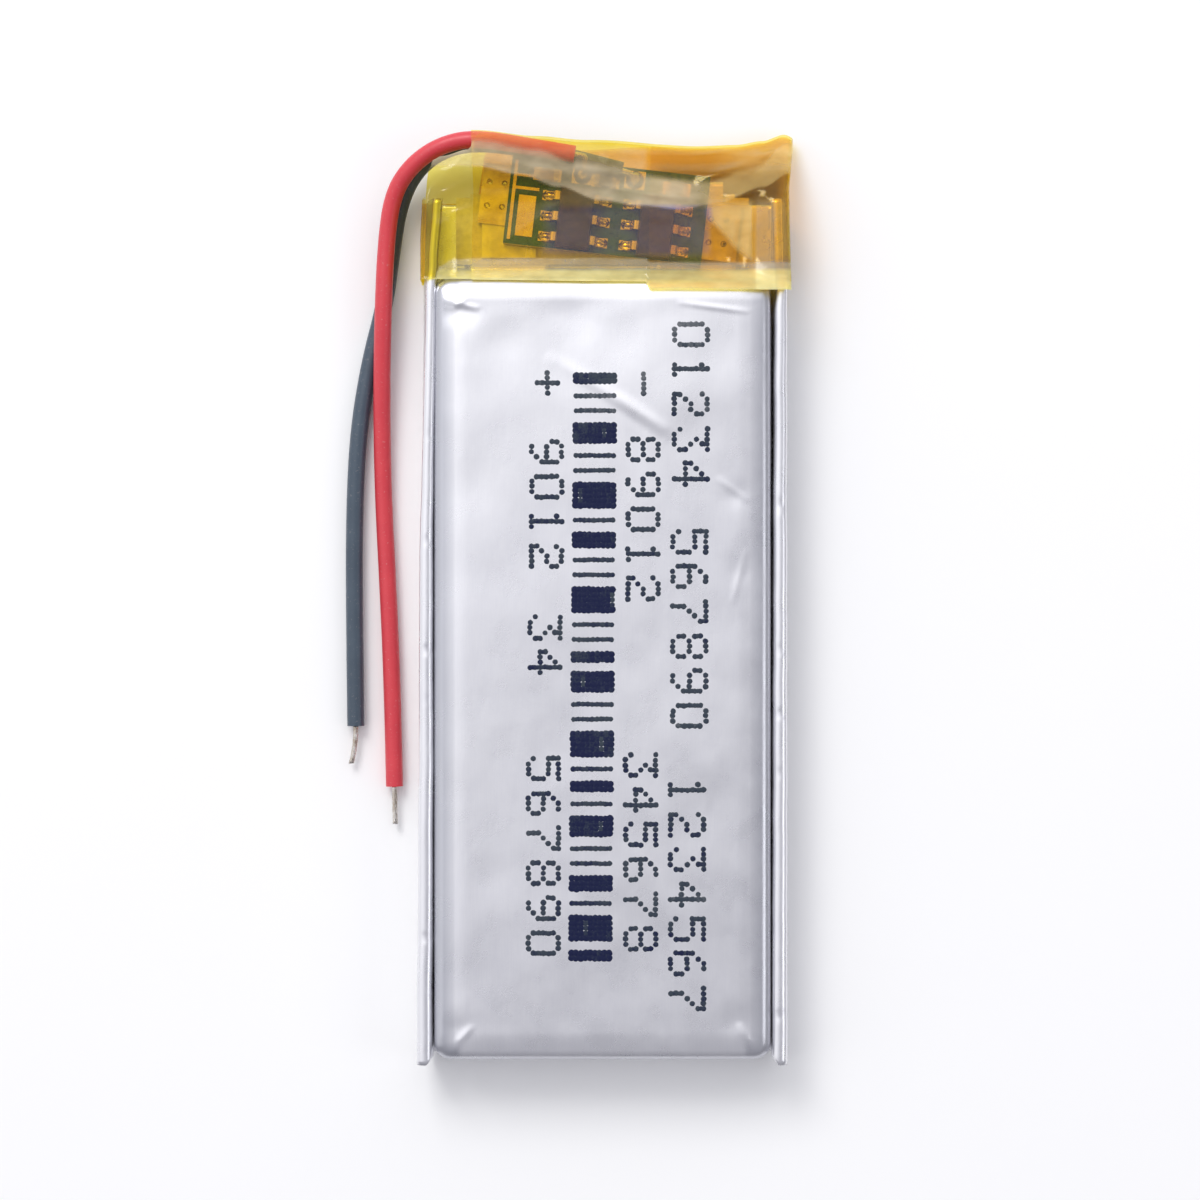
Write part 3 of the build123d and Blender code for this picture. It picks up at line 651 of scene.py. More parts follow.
def film_point(run, share, y, lift):
    """A point of the tape, lift millimetres outside its innermost turn."""
    left, right = profile(FILM_LEFT, y) - lift, profile(FILM_RIGHT, y) + lift
    low = FILM_BACK - lift
    inner_left, inner_right = left + FILM_CORNER, right - FILM_CORNER
    top_left, top_right = front_height(inner_left, y) + lift, front_height(inner_right, y) + lift
    turn = math.pi / 2 * share
    bow = 0.05 * math.sin(math.pi * share)
    if run == "front":
        x = inner_left + (inner_right - inner_left) * share
        return x, front_height(x, y) + lift
    if run == "front_right":
        return inner_right + FILM_CORNER * math.sin(turn), top_right - FILM_CORNER * (1 - math.cos(turn))
    if run == "right":
        return right + bow, top_right - FILM_CORNER + (low + 2 * FILM_CORNER - top_right) * share
    if run == "back_right":
        return inner_right + FILM_CORNER * math.cos(turn), low + FILM_CORNER * (1 - math.sin(turn))
    if run == "back":
        x = inner_right + (inner_left - inner_right) * share
        return x, low
    if run == "back_left":
        return inner_left - FILM_CORNER * math.sin(turn), low + FILM_CORNER * (1 - math.cos(turn))
    if run == "left":
        return left - bow, low + FILM_CORNER + (top_left - low - 2 * FILM_CORNER) * share
    return inner_left - FILM_CORNER * math.cos(turn), top_left - FILM_CORNER * (1 - math.sin(turn))


def front_share(x):
    """Where an x lies along the front run."""
    left, right = profile(FILM_LEFT, 17) + FILM_CORNER, profile(FILM_RIGHT, 17) - FILM_CORNER
    return (x - left) / (right - left)


def first_turn_ends(run, share, x, second_pass):
    """Lower and upper end of the first turn at one place round it."""
    low = 14.50 - 0.10 * smooth_step(-7.0, 2.0, x) - 0.32 * smooth_step(2.0, 2.1, x)
    if run.startswith("back") or run in ("left", "right"):
        low = 14.54
    high = profile(TAPE_TOP_EDGE, max(x, -5.7)) - 0.10
    if run == "front" and second_pass and x < OPEN_CORNER[-1][0]:
        high = min(high, profile(OPEN_CORNER, x))
    if run == "front_left":
        high = 18.15
    if run == "left":
        high = 18.1 + 0.5 * (1 - share)
    if run.startswith("back"):
        high = min(high, profile(BACK_CORNER, x))
    return low, high


def second_turn_ends(run, _share, x, _second_pass):
    """Lower and upper end of the outer turn at one place round it."""
    low = 14.46 - 0.10 * smooth_step(-7.0, 2.0, x) - 0.38 * smooth_step(2.0, 2.1, x)
    if run.startswith("back") or run in ("left", "right"):
        low = 14.50
    high = profile(TAPE_TOP_EDGE, x)
    if run.startswith("back"):
        high = min(high, profile(BACK_CORNER, x))
    return low, high


def film_strip(name, places, lift_at, ends_at, replaced, milkiness):
    """A strip of film wound through a list of places, with its haze stored on its points."""
    rows = 84
    vertices, faces, haze = [], [], []
    for index, (run, share, turn) in enumerate(places):
        lift = lift_at(index / (len(places) - 1))
        x = film_point(run, share, 17, lift)[0]
        low, high = ends_at(run, share, x, turn > 0)
        for row in range(rows + 1):
            y = low + (high - low) * row / rows
            at_x, at_z = film_point(run, share, y, lift)
            vertices.append((at_x, y, at_z))
            # Painted highlight: the rows at each cut edge get extra haze, so the edges show as lighter lines.
            edge = max(1 - min(row, rows - row) / 2, 0.0) * 0.12
            share_here = 1.0 if at_x < SECOND_START_X else milkiness
            haze.append(edge + share_here * (film_haze(at_x, y) if run.startswith("front") else BACK_HAZE))
    for column in range(len(places) - 1):
        for row in range(rows):
            a = column * (rows + 1) + row
            faces.append((a, a + rows + 1, a + rows + 2, a + 1))
    film = mesh_object(name, vertices, faces)
    store(film, "haze", haze)
    return declare(film, replaced)


def make_tape():
    """The two turns of film as one wound strip in two pieces."""
    around = film_path()
    start = front_share(FIRST_START_X)
    first_front = [(run, share, 0) for run, share in around if run != "front" or share >= start]
    again = [(run, share, 1) for run, share in around if run == "front"]
    over_edge = [(run, share, 1) for run, share in around if run in ("front_right", "right")]
    first = film_strip("tape_inner_turn", first_front + again + over_edge,
                       lambda share: FILM_STEP * share * 1.6, first_turn_ends, "tape_first_turn", 0.3)
    start = front_share(SECOND_START_X)
    outer = [(run, share, 0) for run, share in around
             if (run != "front" or share >= start) and run not in ("left", "front_left")]
    second = film_strip("tape_outer_turn", outer, lambda share: FILM_STEP * (2.2 + 0.2 * share),
                        second_turn_ends, "tape_second_turn", 1.0)
    return first, second


tape_inner, tape_outer = make_tape()


# ---------------- solder under the packages' feet

# A fillet's reach along the foot, across it and up
FILLET_REACH = (0.40, 0.255, 0.22)
LEAD_THICKNESS = 0.14


def separate_solids(name):
    """The points of each separate solid in a CAD node, in millimetres."""
    mesh = bmesh.new()
    mesh.from_mesh(frame["nodes"][name].data)
    bmesh.ops.remove_doubles(mesh, verts=mesh.verts, dist=0.0001 * MM)
    waiting, solids = set(mesh.verts), []
    for start in mesh.verts:
        if start not in waiting:
            continue
        waiting.remove(start)
        edge, solid = [start], []
        while edge:
            vertex = edge.pop()
            solid.append(vertex.co / MM)
            for other in (link_edge.other_vert(vertex) for link_edge in vertex.link_edges):
                if other in waiting:
                    waiting.remove(other)
                    edge.append(other)
        solids.append(solid)
    mesh.free()
    return solids


def fillet(foot, outwards, seed):
    """A wetted mound of solder over one foot: steep against the lead and thin at its toe."""
    along, across, rise = FILLET_REACH
    sideways = Vector((-outwards.y, outwards.x, 0))
    rings, sides = 7, 22
    vertices, faces = [foot + Vector((0, 0, rise * 0.96))], []
    for ring in range(1, rings + 1):
        reach = ring / rings
        for side in range(sides):
            turn = 2 * math.pi * side / sides
            spread = 1 + 0.07 * ripple(math.cos(turn) * 2, math.sin(turn) * 2, seed, 1.0)
            height = rise * (1 - reach ** 1.6) ** 0.8
            offset = outwards * (along * math.cos(turn)) + sideways * (across * math.sin(turn))
            vertices.append(foot + offset * reach * spread + Vector((0, 0, height)))
    for side in range(sides):
        after = (side + 1) % sides
        faces.append((0, 1 + side, 1 + after))
        for ring in range(rings - 1):
            inner, outer = 1 + ring * sides, 1 + (ring + 1) * sides
            faces.append((inner + side, outer + side, outer + after, inner + after))
    return vertices, faces


def make_fillets(name, lead_frame):
    """Solder round the six feet of one package."""
    vertices, faces = [], []
    for index, solid in enumerate(separate_solids(lead_frame)):
        floor = min(point.z for point in solid)
        crown = max(point.z for point in solid)
        feet = [point for point in solid if point.z < floor + LEAD_THICKNESS]
        shoulder = [point for point in solid if point.z > crown - LEAD_THICKNESS]
        foot, back = sum(feet, Vector()) / len(feet), sum(shoulder, Vector()) / len(shoulder)
        outwards = Vector((foot.x - back.x, foot.y - back.y, 0)).normalized()
        foot = Vector((foot.x, foot.y, floor)) + outwards * 0.05
        mound, mound_faces = fillet(foot, outwards, index + 0.5)
        first = len(vertices)
        vertices += mound
        faces += [[first + corner for corner in face] for face in mound_faces]
    return declare(mesh_object(name, vertices, faces))


fillets = [make_fillets("protection_ic_solder", "protection_ic_leads"),
           make_fillets("mosfet_solder", "mosfet_leads")]


# ---------------- printed marks

DOT_PITCH = 0.228
DOT_RADIUS = 0.130
CHARACTER_STEP = 1.59
PRINT_SLANT = 0.009
# Plain counting digits and the two polarity marks, seven rows of five dots each
GLYPHS = {
    "0": "01110 10001 10001 10001 10001 10001 01110",
    "1": "00100 01100 00100 00100 00100 00100 01110",
    "2": "01110 10001 00001 00110 01000 10000 11111",
    "3": "11111 00010 00100 00010 00001 10001 01110",
    "4": "00010 00110 01010 10010 11111 00010 00010",
    "5": "11111 10000 11110 00001 00001 10001 01110",
    "6": "00110 01000 10000 11110 10001 10001 01110",
    "7": "11111 00001 00010 00100 01000 01000 01000",
    "8": "01110 10001 10001 01110 10001 10001 01110",
    "9": "01110 10001 10001 01111 00001 00010 01100",
    "+": "00000 00100 00100 11111 00100 00100 00000",
    "-": "00000 00000 00000 11111 00000 00000 00000",
}
# Each printed group: (text, middle of the line in X, where it starts in Y, scale across)
PRINT_GROUPS = [
    ("01234", 4.03, 12.40, 1.10), ("567890", 3.96, 2.95, 1.10), ("1234567", 3.86, -8.37, 1.10),
    ("-", 1.87, 10.15, 1.0), ("89012", 1.85, 7.16, 1.0), ("345678", 1.74, -7.24, 1.0),
    ("+", -2.52, 10.20, 1.0), ("9012", -2.55, 7.05, 1.0), ("34", -2.62, -0.97, 1.0),
    ("567890", -2.70, -7.42, 1.0),
]
# The bars: where they lie, how many dots make one, and each bar's width in columns of dots
BAR_MIDDLE = -0.33
BAR_START, BAR_END = 10.05, -16.75
BAR_DOTS, BAR_SPACING = 9, 0.94
BAR_RHYTHM = [2, 1, 1, 4, 1, 1, 5, 1, 3, 1, 1, 5, 1, 1, 2, 4, 1, 1, 5, 1, 2, 1, 4, 1, 1, 3, 1, 5, 2]


def character_dots(character, middle, start, across, shake):
    """One character's dots, with the gaps between neighbours along X filled as wet ink fills them."""
    rows = GLYPHS[character].split()
    dots = []
    for column in range(5):
        y = start - column * DOT_PITCH * 1.02 + shake.uniform(-0.02, 0.02)
        for row in range(7):
            if rows[row][column] == "1":
                x = middle + (3 - row) * DOT_PITCH * across
                dots.append((x + shake.uniform(-0.016, 0.016), y + shake.uniform(-0.018, 0.018), DOT_RADIUS))
                if row < 6 and rows[row + 1][column] == "1":
                    dots.append((x - DOT_PITCH * across / 2, y, DOT_RADIUS * 0.84))
    return dots


def bar_dots(y, width, shake):
    """One bar: columns of dots along X, run together, with a few pinholes in the wide ones."""
    dots = []
    hole = shake.randrange(1, BAR_DOTS) if width > 3 else None
    radius = DOT_RADIUS * (0.94 if width == 1 else 1.27)
    middle = BAR_MIDDLE + PRINT_SLANT * (y - BAR_START)
    for column in range(width):
        for dot in range(BAR_DOTS):
            x = middle + (dot - (BAR_DOTS - 1) / 2) * DOT_PITCH * BAR_SPACING
            dot_x = x + shake.uniform(-0.01, 0.01)
            dot_y = y - column * DOT_PITCH + shake.uniform(-0.012, 0.012)
            pinhole = dot == hole and 0 < column < width - 1
            dots.append((dot_x, dot_y, radius * (0.78 if pinhole else 1.0)))
            if width == 1 and dot < BAR_DOTS - 1:
                dots.append((dot_x + DOT_PITCH * BAR_SPACING / 2, dot_y, radius * 0.86))
    return dots


def print_dots():
    """Places and radii of every ink dot: counting digits, polarity marks and a made-up bar pattern."""
    shake = random.Random(17)
    dots = []
    for text, middle, start, across in PRINT_GROUPS:
        for position, character in enumerate(text):
            dots += character_dots(character, middle, start - position * CHARACTER_STEP, across, shake)
    gap = (BAR_START - BAR_END - sum(BAR_RHYTHM) * DOT_PITCH) / (len(BAR_RHYTHM) - 1)
    y = BAR_START
    for width in BAR_RHYTHM:
        dots += bar_dots(y, width, shake)
        y -= width * DOT_PITCH + gap
    return dots


def make_print(surface):
    """Thin raised dots of ink that follow the foil under them."""
    depsgraph = bpy.context.evaluated_depsgraph_get()
    tree = BVHTree.FromObject(surface, depsgraph)
    vary = random.Random(5)
    sides = 12
    vertices, faces, strength = [], [], []

    def on_foil(x, y, lift):
        hit = tree.ray_cast(Vector((x, y, 10)) * MM, Vector((0, 0, -1)))[0]
        return (x, y, hit.z / MM + lift)

    for index, (x, y, radius) in enumerate(print_dots()):
        flooded = radius > DOT_RADIUS * 1.15
        radius *= vary.uniform(0.93, 1.07)
        lift = 0.004 + 0.0009 * (index % 5)
        faint = 0.30 * smooth_step(7.0, 11.0, y)
        density = 0.74 + 0.25 * flooded - faint + 0.3 * ripple(x, y, 0, 2.5, 8.0)
        density = min(1.0, density + vary.uniform(-0.08, 0.08))
        first = len(vertices)
        vertices.append(on_foil(x, y, lift + 0.006))
        strength.append(density)
        for reach, height, part in ((0.78, 0.005, 0.96), (1.0, -0.003, 0.90 if flooded else 0.55)):
            for side in range(sides):
                turn = 2 * math.pi * side / sides
                rough = radius * reach * (1 + 0.07 * vary.uniform(-1, 1))
                dot_x, dot_y = x + rough * math.cos(turn), y + rough * math.sin(turn)
                vertices.append(on_foil(dot_x, dot_y, lift + height))
                strength.append(density * part)
        for side in range(sides):
            after = (side + 1) % sides
            inner, outer = first + 1, first + 1 + sides
            faces.append((first, inner + side, inner + after))
            faces.append((inner + side, outer + side, outer + after, inner + after))
    marks = mesh_object("printed_marks", vertices, faces)
    store(marks, "ink_depth", strength)
    return declare(marks)


ink = make_print(body)


# ---------------- materials

FILM_INDEX = 1.42


def node(tree, kind, **inputs):
    """Adds a node; each input is a value or another node's output."""
    made = tree.nodes.new(kind)
    for key, value in inputs.items():
        socket = made.inputs[key.replace("_", " ")]
        if isinstance(value, bpy.types.NodeSocket):
            tree.links.new(value, socket)
        else:
            socket.default_value = value
    return made


def place(tree, scale=(1, 1, 1)):
    """Object coordinates in millimetres, stretched by a scale."""
    coordinates = tree.nodes.new("ShaderNodeTexCoord")
    mapping = node(tree, "ShaderNodeMapping", Vector=coordinates.outputs["Object"],
                   Scale=tuple(s / MM for s in scale))
    return mapping.outputs["Vector"]


def cloud(tree, size, detail=3.0, scale=(1, 1, 1), roughness=0.55):
    """Noise from 0 to 1 with features about size millimetres."""
    made = node(tree, "ShaderNodeTexNoise", Vector=place(tree, scale), Scale=1 / size, Detail=detail,
                Roughness=roughness)
    return made.outputs["Fac"]


def remap(tree, value, low, high, to_low, to_high):
    """Carries a value from one range to another, clamped."""
    made = node(tree, "ShaderNodeMapRange", Value=value)
    for key, number in zip(("From Min", "From Max", "To Min", "To Max"), (low, high, to_low, to_high)):
        made.inputs[key].default_value = number
    return made.outputs["Result"]


def calculate(tree, operation, first, second=0.0):
    """One arithmetic node."""
    made = tree.nodes.new("ShaderNodeMath")
    made.operation = operation
    for socket, value in zip(made.inputs, (first, second)):
        if isinstance(value, bpy.types.NodeSocket):
            tree.links.new(value, socket)
        else:
            socket.default_value = value
    return made.outputs[0]


def blend(tree, share, first, second):
    """A mix of two colours."""
    made = tree.nodes.new("ShaderNodeMix")
    made.data_type = "RGBA"
    for socket, value in ((made.inputs[0], share), (made.inputs[6], first), (made.inputs[7], second)):
        if isinstance(value, bpy.types.NodeSocket):
            tree.links.new(value, socket)
        else:
            socket.default_value = value if isinstance(value, float) else (*value, 1.0)
    return made.outputs[2]


def bumps(tree, height, depth, strength=1.0, under=None):
    """A bump whose full height is depth millimetres."""
    made = node(tree, "ShaderNodeBump", Height=height, Strength=strength, Distance=depth * MM)
    if under is not None:
        tree.links.new(under, made.inputs["Normal"])
    return made.outputs["Normal"]


def stored(tree, name):
    """A number stored on the mesh's points."""
    made = tree.nodes.new("ShaderNodeAttribute")
    made.attribute_name = name
    return made.outputs["Fac"]


def new_material(name):
    """An empty material and its node tree."""
    made = bpy.data.materials.new(name)
    made.use_nodes = True
    made.node_tree.nodes.clear()
    return made, made.node_tree


def finish_material(tree, surface):
    """Joins the last shader to the output."""
    output = tree.nodes.new("ShaderNodeOutputMaterial")
    tree.links.new(surface, output.inputs["Surface"])


def varied(low, high, size, detail=3.0, scale=(1, 1, 1), ends=(0.3, 0.7)):
    """A value that wanders between low and high, as a function that builds it in a tree."""
    return lambda tree: remap(tree, cloud(tree, size, detail, scale), *ends, low, high)


def principled(name, colour, roughness, normal=None, **fixed):
    """A Principled material from functions that build its colour, roughness and normal in the tree."""
    made, tree = new_material(name)
    shader = node(tree, "ShaderNodeBsdfPrincipled", **fixed)
    tree.links.new(colour(tree), shader.inputs["Base Color"])
    tree.links.new(roughness(tree), shader.inputs["Roughness"])
    if normal is not None:
        tree.links.new(normal(tree), shader.inputs["Normal"])
    finish_material(tree, shader.outputs[0])
    return made


def foil_material():
    """Laminate: aluminium under a satin clear film, faintly streaked along its length, with rubbed spots, and
    greyed by painted shade on the body's rims and the left seal's crest.
    """
    def colour(tree):
        clouds = blend(tree, cloud(tree, 9.0, 2.0), (0.80, 0.80, 0.845), (0.86, 0.86, 0.885))
        streaks = remap(tree, cloud(tree, 0.35, 3.0, (6.0, 0.25, 1.0)), 0.35, 0.75, 0.0, 0.35)
        streaked = blend(tree, streaks, clouds, (0.90, 0.90, 0.915))
        rubbed = remap(tree, cloud(tree, 0.7, 5.0, (1.0, 0.5, 1.0), 0.7), 0.66, 0.74, 0.0, 0.2)
        spotted = blend(tree, rubbed, streaked, (0.66, 0.66, 0.72))
        # Painted shade: greyer where the stored painted shade is, on the body's rims and the left seal's
        # crest, to darken their highlights.
        painted_shade = remap(tree, stored(tree, "painted_shade"), 0.0, 1.0, 0.0, 0.75)
        return blend(tree, painted_shade, spotted, (0.44, 0.45, 0.50))

    def normal(tree):
        dull = bumps(tree, cloud(tree, 0.08, 2.0), 0.004, 0.35)
        creep = bumps(tree, cloud(tree, 0.9, 3.0, (1.0, 0.45, 1.0)), 0.02, 0.5, dull)
        return bumps(tree, cloud(tree, 3.4, 1.0), 0.05, 0.5, creep)

    roughness = varied(0.24, 0.37, 1.6, 4.0, ends=(0.3, 0.75))
    return principled("laminate_foil", colour, roughness, normal, Metallic=0.86, Coat_Weight=0.2,
                      Coat_Roughness=0.22)


def ink_material():
    """Dot-matrix ink: navy where it is thick, grey-green where it thins out at a dot's edge."""
    def colour(tree):
        grain = cloud(tree, 0.09, 3.0)
        density = calculate(tree, "ADD", stored(tree, "ink_depth"), remap(tree, grain, 0.3, 0.7, -0.12, 0.12))
        covered = remap(tree, density, 0.2, 0.55, 0.0, 1.0)
        thin = blend(tree, covered, (0.15, 0.16, 0.175), (0.034, 0.047, 0.066))
        return blend(tree, remap(tree, density, 0.68, 0.95, 0.0, 1.0), thin, (0.003, 0.007, 0.046))

    def normal(tree):
        return bumps(tree, cloud(tree, 0.06), 0.006, 0.4)

    return principled("marking_ink", colour, varied(0.5, 0.7, 0.2), normal, Specular_IOR_Level=0.25)


def milky_colour(tree):
    """The cloudy film's colour: warmer towards the right, greyer beside the right wing and over the body's
    sloping end as painted shade, bluish over the board's packages, and bright yellow along its lower edge as
    a painted highlight.
    """
    where = node(tree, "ShaderNodeSeparateXYZ", Vector=place(tree))

    def after(axis, low, high):
        return remap(tree, where.outputs[axis], low, high, 0.0, 1.0)

    def before(axis, low, high):
        return remap(tree, where.outputs[axis], low, high, 1.0, 0.0)

    def both(first, second):
        return calculate(tree, "MULTIPLY", first, second)

    beige = blend(tree, cloud(tree, 1.4, 2.0), (0.86, 0.70, 0.44), (0.94, 0.81, 0.59))
    warmed = blend(tree, remap(tree, where.outputs["X"], 4.4, 5.6, 0.0, 0.8), beige, (0.97, 0.74, 0.24))
    # Painted shade: greyer beside the right wing, over the dark gap between wing and body.
    beside_wing = both(both(after("X", 6.95, 7.1), before("X", 7.85, 8.0)), before("Y", 17.7, 18.3))
    gap_shaded = blend(tree, beside_wing, warmed, (0.58, 0.53, 0.42))
    # Painted shade: greyer over the body's sloping end, for the shading of its end wall.
    end_shaded = blend(tree, before("Y", 15.4, 15.6), gap_shaded, (0.50, 0.48, 0.39))
    over_board = both(both(after("X", -3.0, -2.4), before("X", 4.8, 5.1)),
                      both(after("Y", 15.5, 15.8), before("Y", 17.7, 18.0)))
    cooled = blend(tree, over_board, end_shaded, (0.34, 0.34, 0.78))
    # Painted highlight: bright yellow along the film's lower edge, where it lies on the body's sloping end.
    return blend(tree, before("Y", 14.85, 15.02), cooled, (1.0, 0.93, 0.42))


def film_material():
    """Amber polyimide film: clear where it is stuck down, cloudy where air is under it, with a soft gloss;
    its cloudy colour carries painted shade and a painted highlight.
    """
    made, tree = new_material("amber_film")
    tint = blend(tree, varied(0.0, 1.0, 2.4)(tree), (0.990, 0.866, 0.20), (0.982, 0.846, 0.165))
    clear = node(tree, "ShaderNodeBsdfTransparent", Color=tint)
    patchy = remap(tree, cloud(tree, 1.3, 2.0, (1.0, 1.6, 1.0)), 0.3, 0.75, 0.75, 1.2)
    milky = calculate(tree, "MULTIPLY", stored(tree, "haze"), patchy)
    creep = bumps(tree, cloud(tree, 0.55, 3.0, (1.0, 0.7, 1.0)), 0.03, 0.45)
    normal = bumps(tree, cloud(tree, 2.2, 2.0), 0.12, 0.5, creep)
    cloudy = node(tree, "ShaderNodeBsdfPrincipled", Base_Color=milky_colour(tree), Roughness=0.42,
                  Normal=normal)
    body_mix = node(tree, "ShaderNodeMixShader", Fac=milky)
    tree.links.new(clear.outputs[0], body_mix.inputs[1])
    tree.links.new(cloudy.outputs[0], body_mix.inputs[2])
    gloss = node(tree, "ShaderNodeBsdfGlossy", Roughness=0.12, Normal=normal)
    inner_side = tree.nodes.new("ShaderNodeNewGeometry").outputs["Backfacing"]
    index = remap(tree, inner_side, 0.0, 1.0, FILM_INDEX, 1 / FILM_INDEX)
    fresnel = node(tree, "ShaderNodeFresnel", IOR=index, Normal=normal)
    shine = node(tree, "ShaderNodeMixShader", Fac=calculate(tree, "MULTIPLY", fresnel.outputs[0], 0.9))
    tree.links.new(body_mix.outputs[0], shine.inputs[1])
    tree.links.new(gloss.outputs[0], shine.inputs[2])
    finish_material(tree, shine.outputs[0])
    return made


def insulation_material(name, deep, light):
    """Soft wire insulation: a matt skin with a faint bloom, drawn along the wire."""
    def colour(tree):
        mottled = blend(tree, cloud(tree, 1.3, 3.0), deep, light)
        dust = remap(tree, cloud(tree, 0.12, 3.0), 0.62, 0.78, 0.0, 0.25)
        return blend(tree, dust, mottled, (0.55, 0.50, 0.48))

    def normal(tree):
        fine = bumps(tree, cloud(tree, 0.10, 3.0), 0.006, 0.4)
        return bumps(tree, cloud(tree, 0.9, 2.0), 0.03, 0.4, fine)

    return principled(name, colour, varied(0.36, 0.52, 0.5), normal, Coat_Weight=0.15, Coat_Roughness=0.3)


def metal_material(name, dark, light, rough, grain, size):
    """Bare metal with a grain, stains and small dents."""
    def colour(tree):
        stains = remap(tree, cloud(tree, size * 3, 4.0), 0.35, 0.7, 0.0, 1.0)
        return blend(tree, stains, dark, light)

    def normal(tree):
        return bumps(tree, cloud(tree, size, 3.0, grain), 0.012, 0.5)

    roughness = varied(rough * 0.7, rough * 1.35, size, 4.0, grain)
    return principled(name, colour, roughness, normal, Metallic=1.0)


def moulded_material(name, dark, light, rough, size, depth):
    """A dull moulded, fired or woven surface with a fine grain."""
    def colour(tree):
        return blend(tree, varied(0.0, 1.0, size * 4, 4.0)(tree), dark, light)

    roughness = varied(rough * 0.8, rough * 1.15, size * 2)
    return principled(name, colour, roughness, lambda tree: bumps(tree, cloud(tree, size, 3.0), depth, 0.6))


def board_material():
    """Blue-green solder mask on a pale glass-fibre core that shows at the cut edges."""
    def colour(tree):
        mask = blend(tree, varied(0.0, 1.0, 0.6)(tree), (0.008, 0.078, 0.108), (0.018, 0.124, 0.155))
        weave = cloud(tree, 0.12, 2.0, (3.0, 0.6, 1.0))
        core = blend(tree, weave, (0.34, 0.33, 0.16), (0.52, 0.48, 0.28))
        geometry = tree.nodes.new("ShaderNodeNewGeometry")
        facing = node(tree, "ShaderNodeSeparateXYZ", Vector=geometry.outputs["Normal"])
        flat = calculate(tree, "ABSOLUTE", facing.outputs["Z"])
        return blend(tree, calculate(tree, "GREATER_THAN", flat, 0.5), core, mask)

    def normal(tree):
        return bumps(tree, cloud(tree, 0.25, 2.0), 0.012, 0.5)

    return principled("solder_mask", colour, varied(0.22, 0.38, 0.3), normal)


def dress(piece, material):
    """Gives a piece one material."""
    piece.data.materials.clear()
    piece.data.materials.append(material)


# Metals by slot: (material, dark, light, roughness, grain, size)
METALS = {
    "tinned_copper": ("tinned_strands", (0.46, 0.40, 0.33), (0.82, 0.80, 0.76), 0.26, (1, 0.4, 1), 0.10),
    "aluminium_tab": ("aluminium_tab", (0.62, 0.62, 0.64), (0.84, 0.84, 0.86), 0.34, (1, 0.1, 1), 0.25),
    "nickel": ("nickel_strip", (0.60, 0.52, 0.42), (0.86, 0.80, 0.70), 0.34, (0.15, 1, 1), 0.25),
    "gold_pads": ("plated_copper", (0.70, 0.55, 0.25), (0.86, 0.74, 0.42), 0.28, (1, 1, 1), 0.3),
    "solder": ("solder", (0.26, 0.21, 0.08), (0.72, 0.62, 0.30), 0.18, (1, 1, 1), 0.14),
}
# Dull surfaces by slot: (material, dark, light, roughness, size, depth)
DULL = {
    "electrode": ("cathode_coat", (0.020, 0.020, 0.024), (0.045, 0.045, 0.050), 0.7, 0.05, 0.01),
    "electrode_copper": ("anode_coat", (0.035, 0.032, 0.030), (0.075, 0.066, 0.058), 0.62, 0.05, 0.01),
    "separator": ("separator_film", (0.80, 0.80, 0.78), (0.90, 0.90, 0.88), 0.5, 0.05, 0.004),
    "tab_film": ("tab_film", (0.62, 0.58, 0.46), (0.78, 0.74, 0.62), 0.4, 0.10, 0.006),
    "paper": ("fibre_paper", (0.62, 0.58, 0.44), (0.76, 0.72, 0.58), 0.75, 0.06, 0.012),
    "package": ("moulded_epoxy", (0.006, 0.007, 0.060), (0.050, 0.034, 0.150), 0.44, 0.07, 0.01),
    "resistor": ("resistor_glaze", (0.02, 0.02, 0.025), (0.06, 0.06, 0.07), 0.28, 0.08, 0.01),
    "capacitor": ("fired_ceramic", (0.30, 0.20, 0.12), (0.46, 0.34, 0.22), 0.45, 0.08, 0.01),
}


def dress_everything():
    """Materials for the new pieces and for every CAD node, by the record's slots."""
    slots = {
        "pouch": foil_material(),
        "tape": film_material(),
        "red_insulation": insulation_material("red_insulation", (0.57, 0.030, 0.050), (0.71, 0.055, 0.070)),
        "black_insulation": insulation_material("black_insulation", (0.036, 0.055, 0.082),
                                                (0.062, 0.091, 0.124)),
        "board": board_material(),
    }
    slots.update({slot: metal_material(*look) for slot, look in METALS.items()})
    slots.update({slot: moulded_material(*look) for slot, look in DULL.items()})
    for part in frame["record"]["subparts"]:
        dress(frame["nodes"][part["node"]], slots[part["material_slot"]])
    for piece, slot in ((body, "pouch"), (seals, "pouch"), (tape_inner, "tape"), (tape_outer, "tape"),
                        *((mounds, "solder") for mounds in fillets)):
        dress(piece, slots[slot])
    dress(ink, ink_material())
    for name, slot in (("positive_lead", "red_insulation"), ("negative_lead", "black_insulation")):
        insulation, bare = leads[name]
        dress(insulation, slots[slot])
        dress(bare, slots["tinned_copper"])


dress_everything()


# ---------------- floor and light

FLOOR_HALF = 400
FLOOR_DROP = -0.02
# Brightness of the dome on its dark and its bright side, and where its colour is at its whitest
DOME_DARK, DOME_BRIGHT, DOME_WHITE = 0.41, 1.17, 1.03


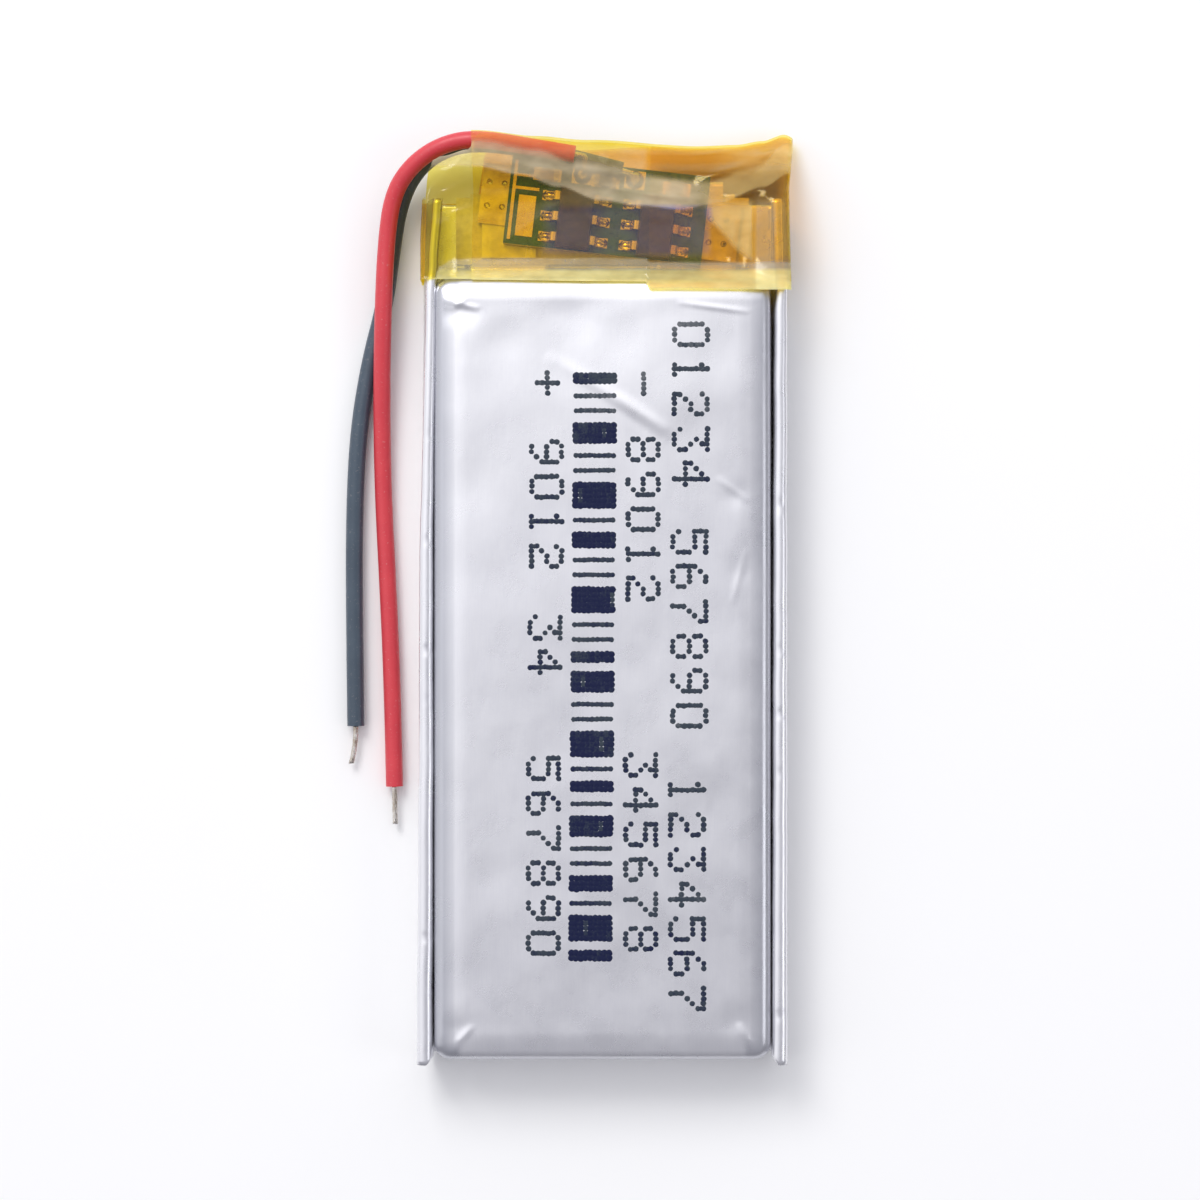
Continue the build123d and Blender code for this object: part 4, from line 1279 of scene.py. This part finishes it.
def make_floor():
    """A plain pale surface for the cell to lie on."""
    corners = [(x * FLOOR_HALF, y * FLOOR_HALF, 0) for x, y in ((-1, -1), (1, -1), (1, 1), (-1, 1))]
    floor = mesh_object("floor", corners, [(0, 1, 2, 3)])
    floor.location.z = FLOOR_DROP * MM

    def colour(tree):
        return blend(tree, cloud(tree, 30.0, 2.0), (0.95, 0.95, 0.95), (0.97, 0.97, 0.97))

    dress(floor, principled("pale_floor", colour, varied(0.55, 0.65, 4.0)))


def soft_light(name, place_at, size, power, tint):
    """A square soft box aimed at the middle of the cell."""
    data = bpy.data.lights.new(name, "AREA")
    data.shape = "RECTANGLE"
    data.size, data.size_y = size[0] * MM, size[1] * MM
    data.energy = power
    data.color = tint
    light = bpy.data.objects.new(name, data)
    light.location = Vector(place_at) * MM
    light.rotation_euler = (-Vector(place_at)).to_track_quat("-Z", "Y").to_euler()
    SCENE.collection.objects.link(light)


def make_light():
    """A pale studio: a dome that brightens towards the key light's corner, and two soft boxes."""
    world = bpy.data.worlds.new("studio")
    world.use_nodes = True
    tree = world.node_tree
    coordinates = tree.nodes.new("ShaderNodeTexCoord")
    direction = node(tree, "ShaderNodeSeparateXYZ", Vector=coordinates.outputs["Generated"])
    upward = remap(tree, direction.outputs["Z"], 0.0, 0.9, 0.72, 1.0)
    sideways = calculate(tree, "MULTIPLY", direction.outputs["X"], 0.5)
    towards_key = calculate(tree, "SUBTRACT", direction.outputs["Y"], sideways)
    panel = remap(tree, towards_key, -0.17, 0.19, DOME_DARK, DOME_BRIGHT)
    background = tree.nodes["Background"]
    tree.links.new(calculate(tree, "MULTIPLY", upward, panel), background.inputs["Strength"])
    whiteness = remap(tree, panel, DOME_DARK, DOME_WHITE, 0.0, 1.0)
    tree.links.new(blend(tree, whiteness, (0.90, 0.90, 1.0), (0.965, 0.965, 1.0)), background.inputs["Color"])
    SCENE.world = world
    soft_light("key", (-120, 230, 260), (160, 160), 0.62, (1.0, 0.99, 0.97))
    soft_light("fill", (240, -40, 200), (140, 140), 0.09, (0.97, 0.98, 1.0))
    SCENE.view_settings.view_transform = "Standard"


make_floor()
make_light()
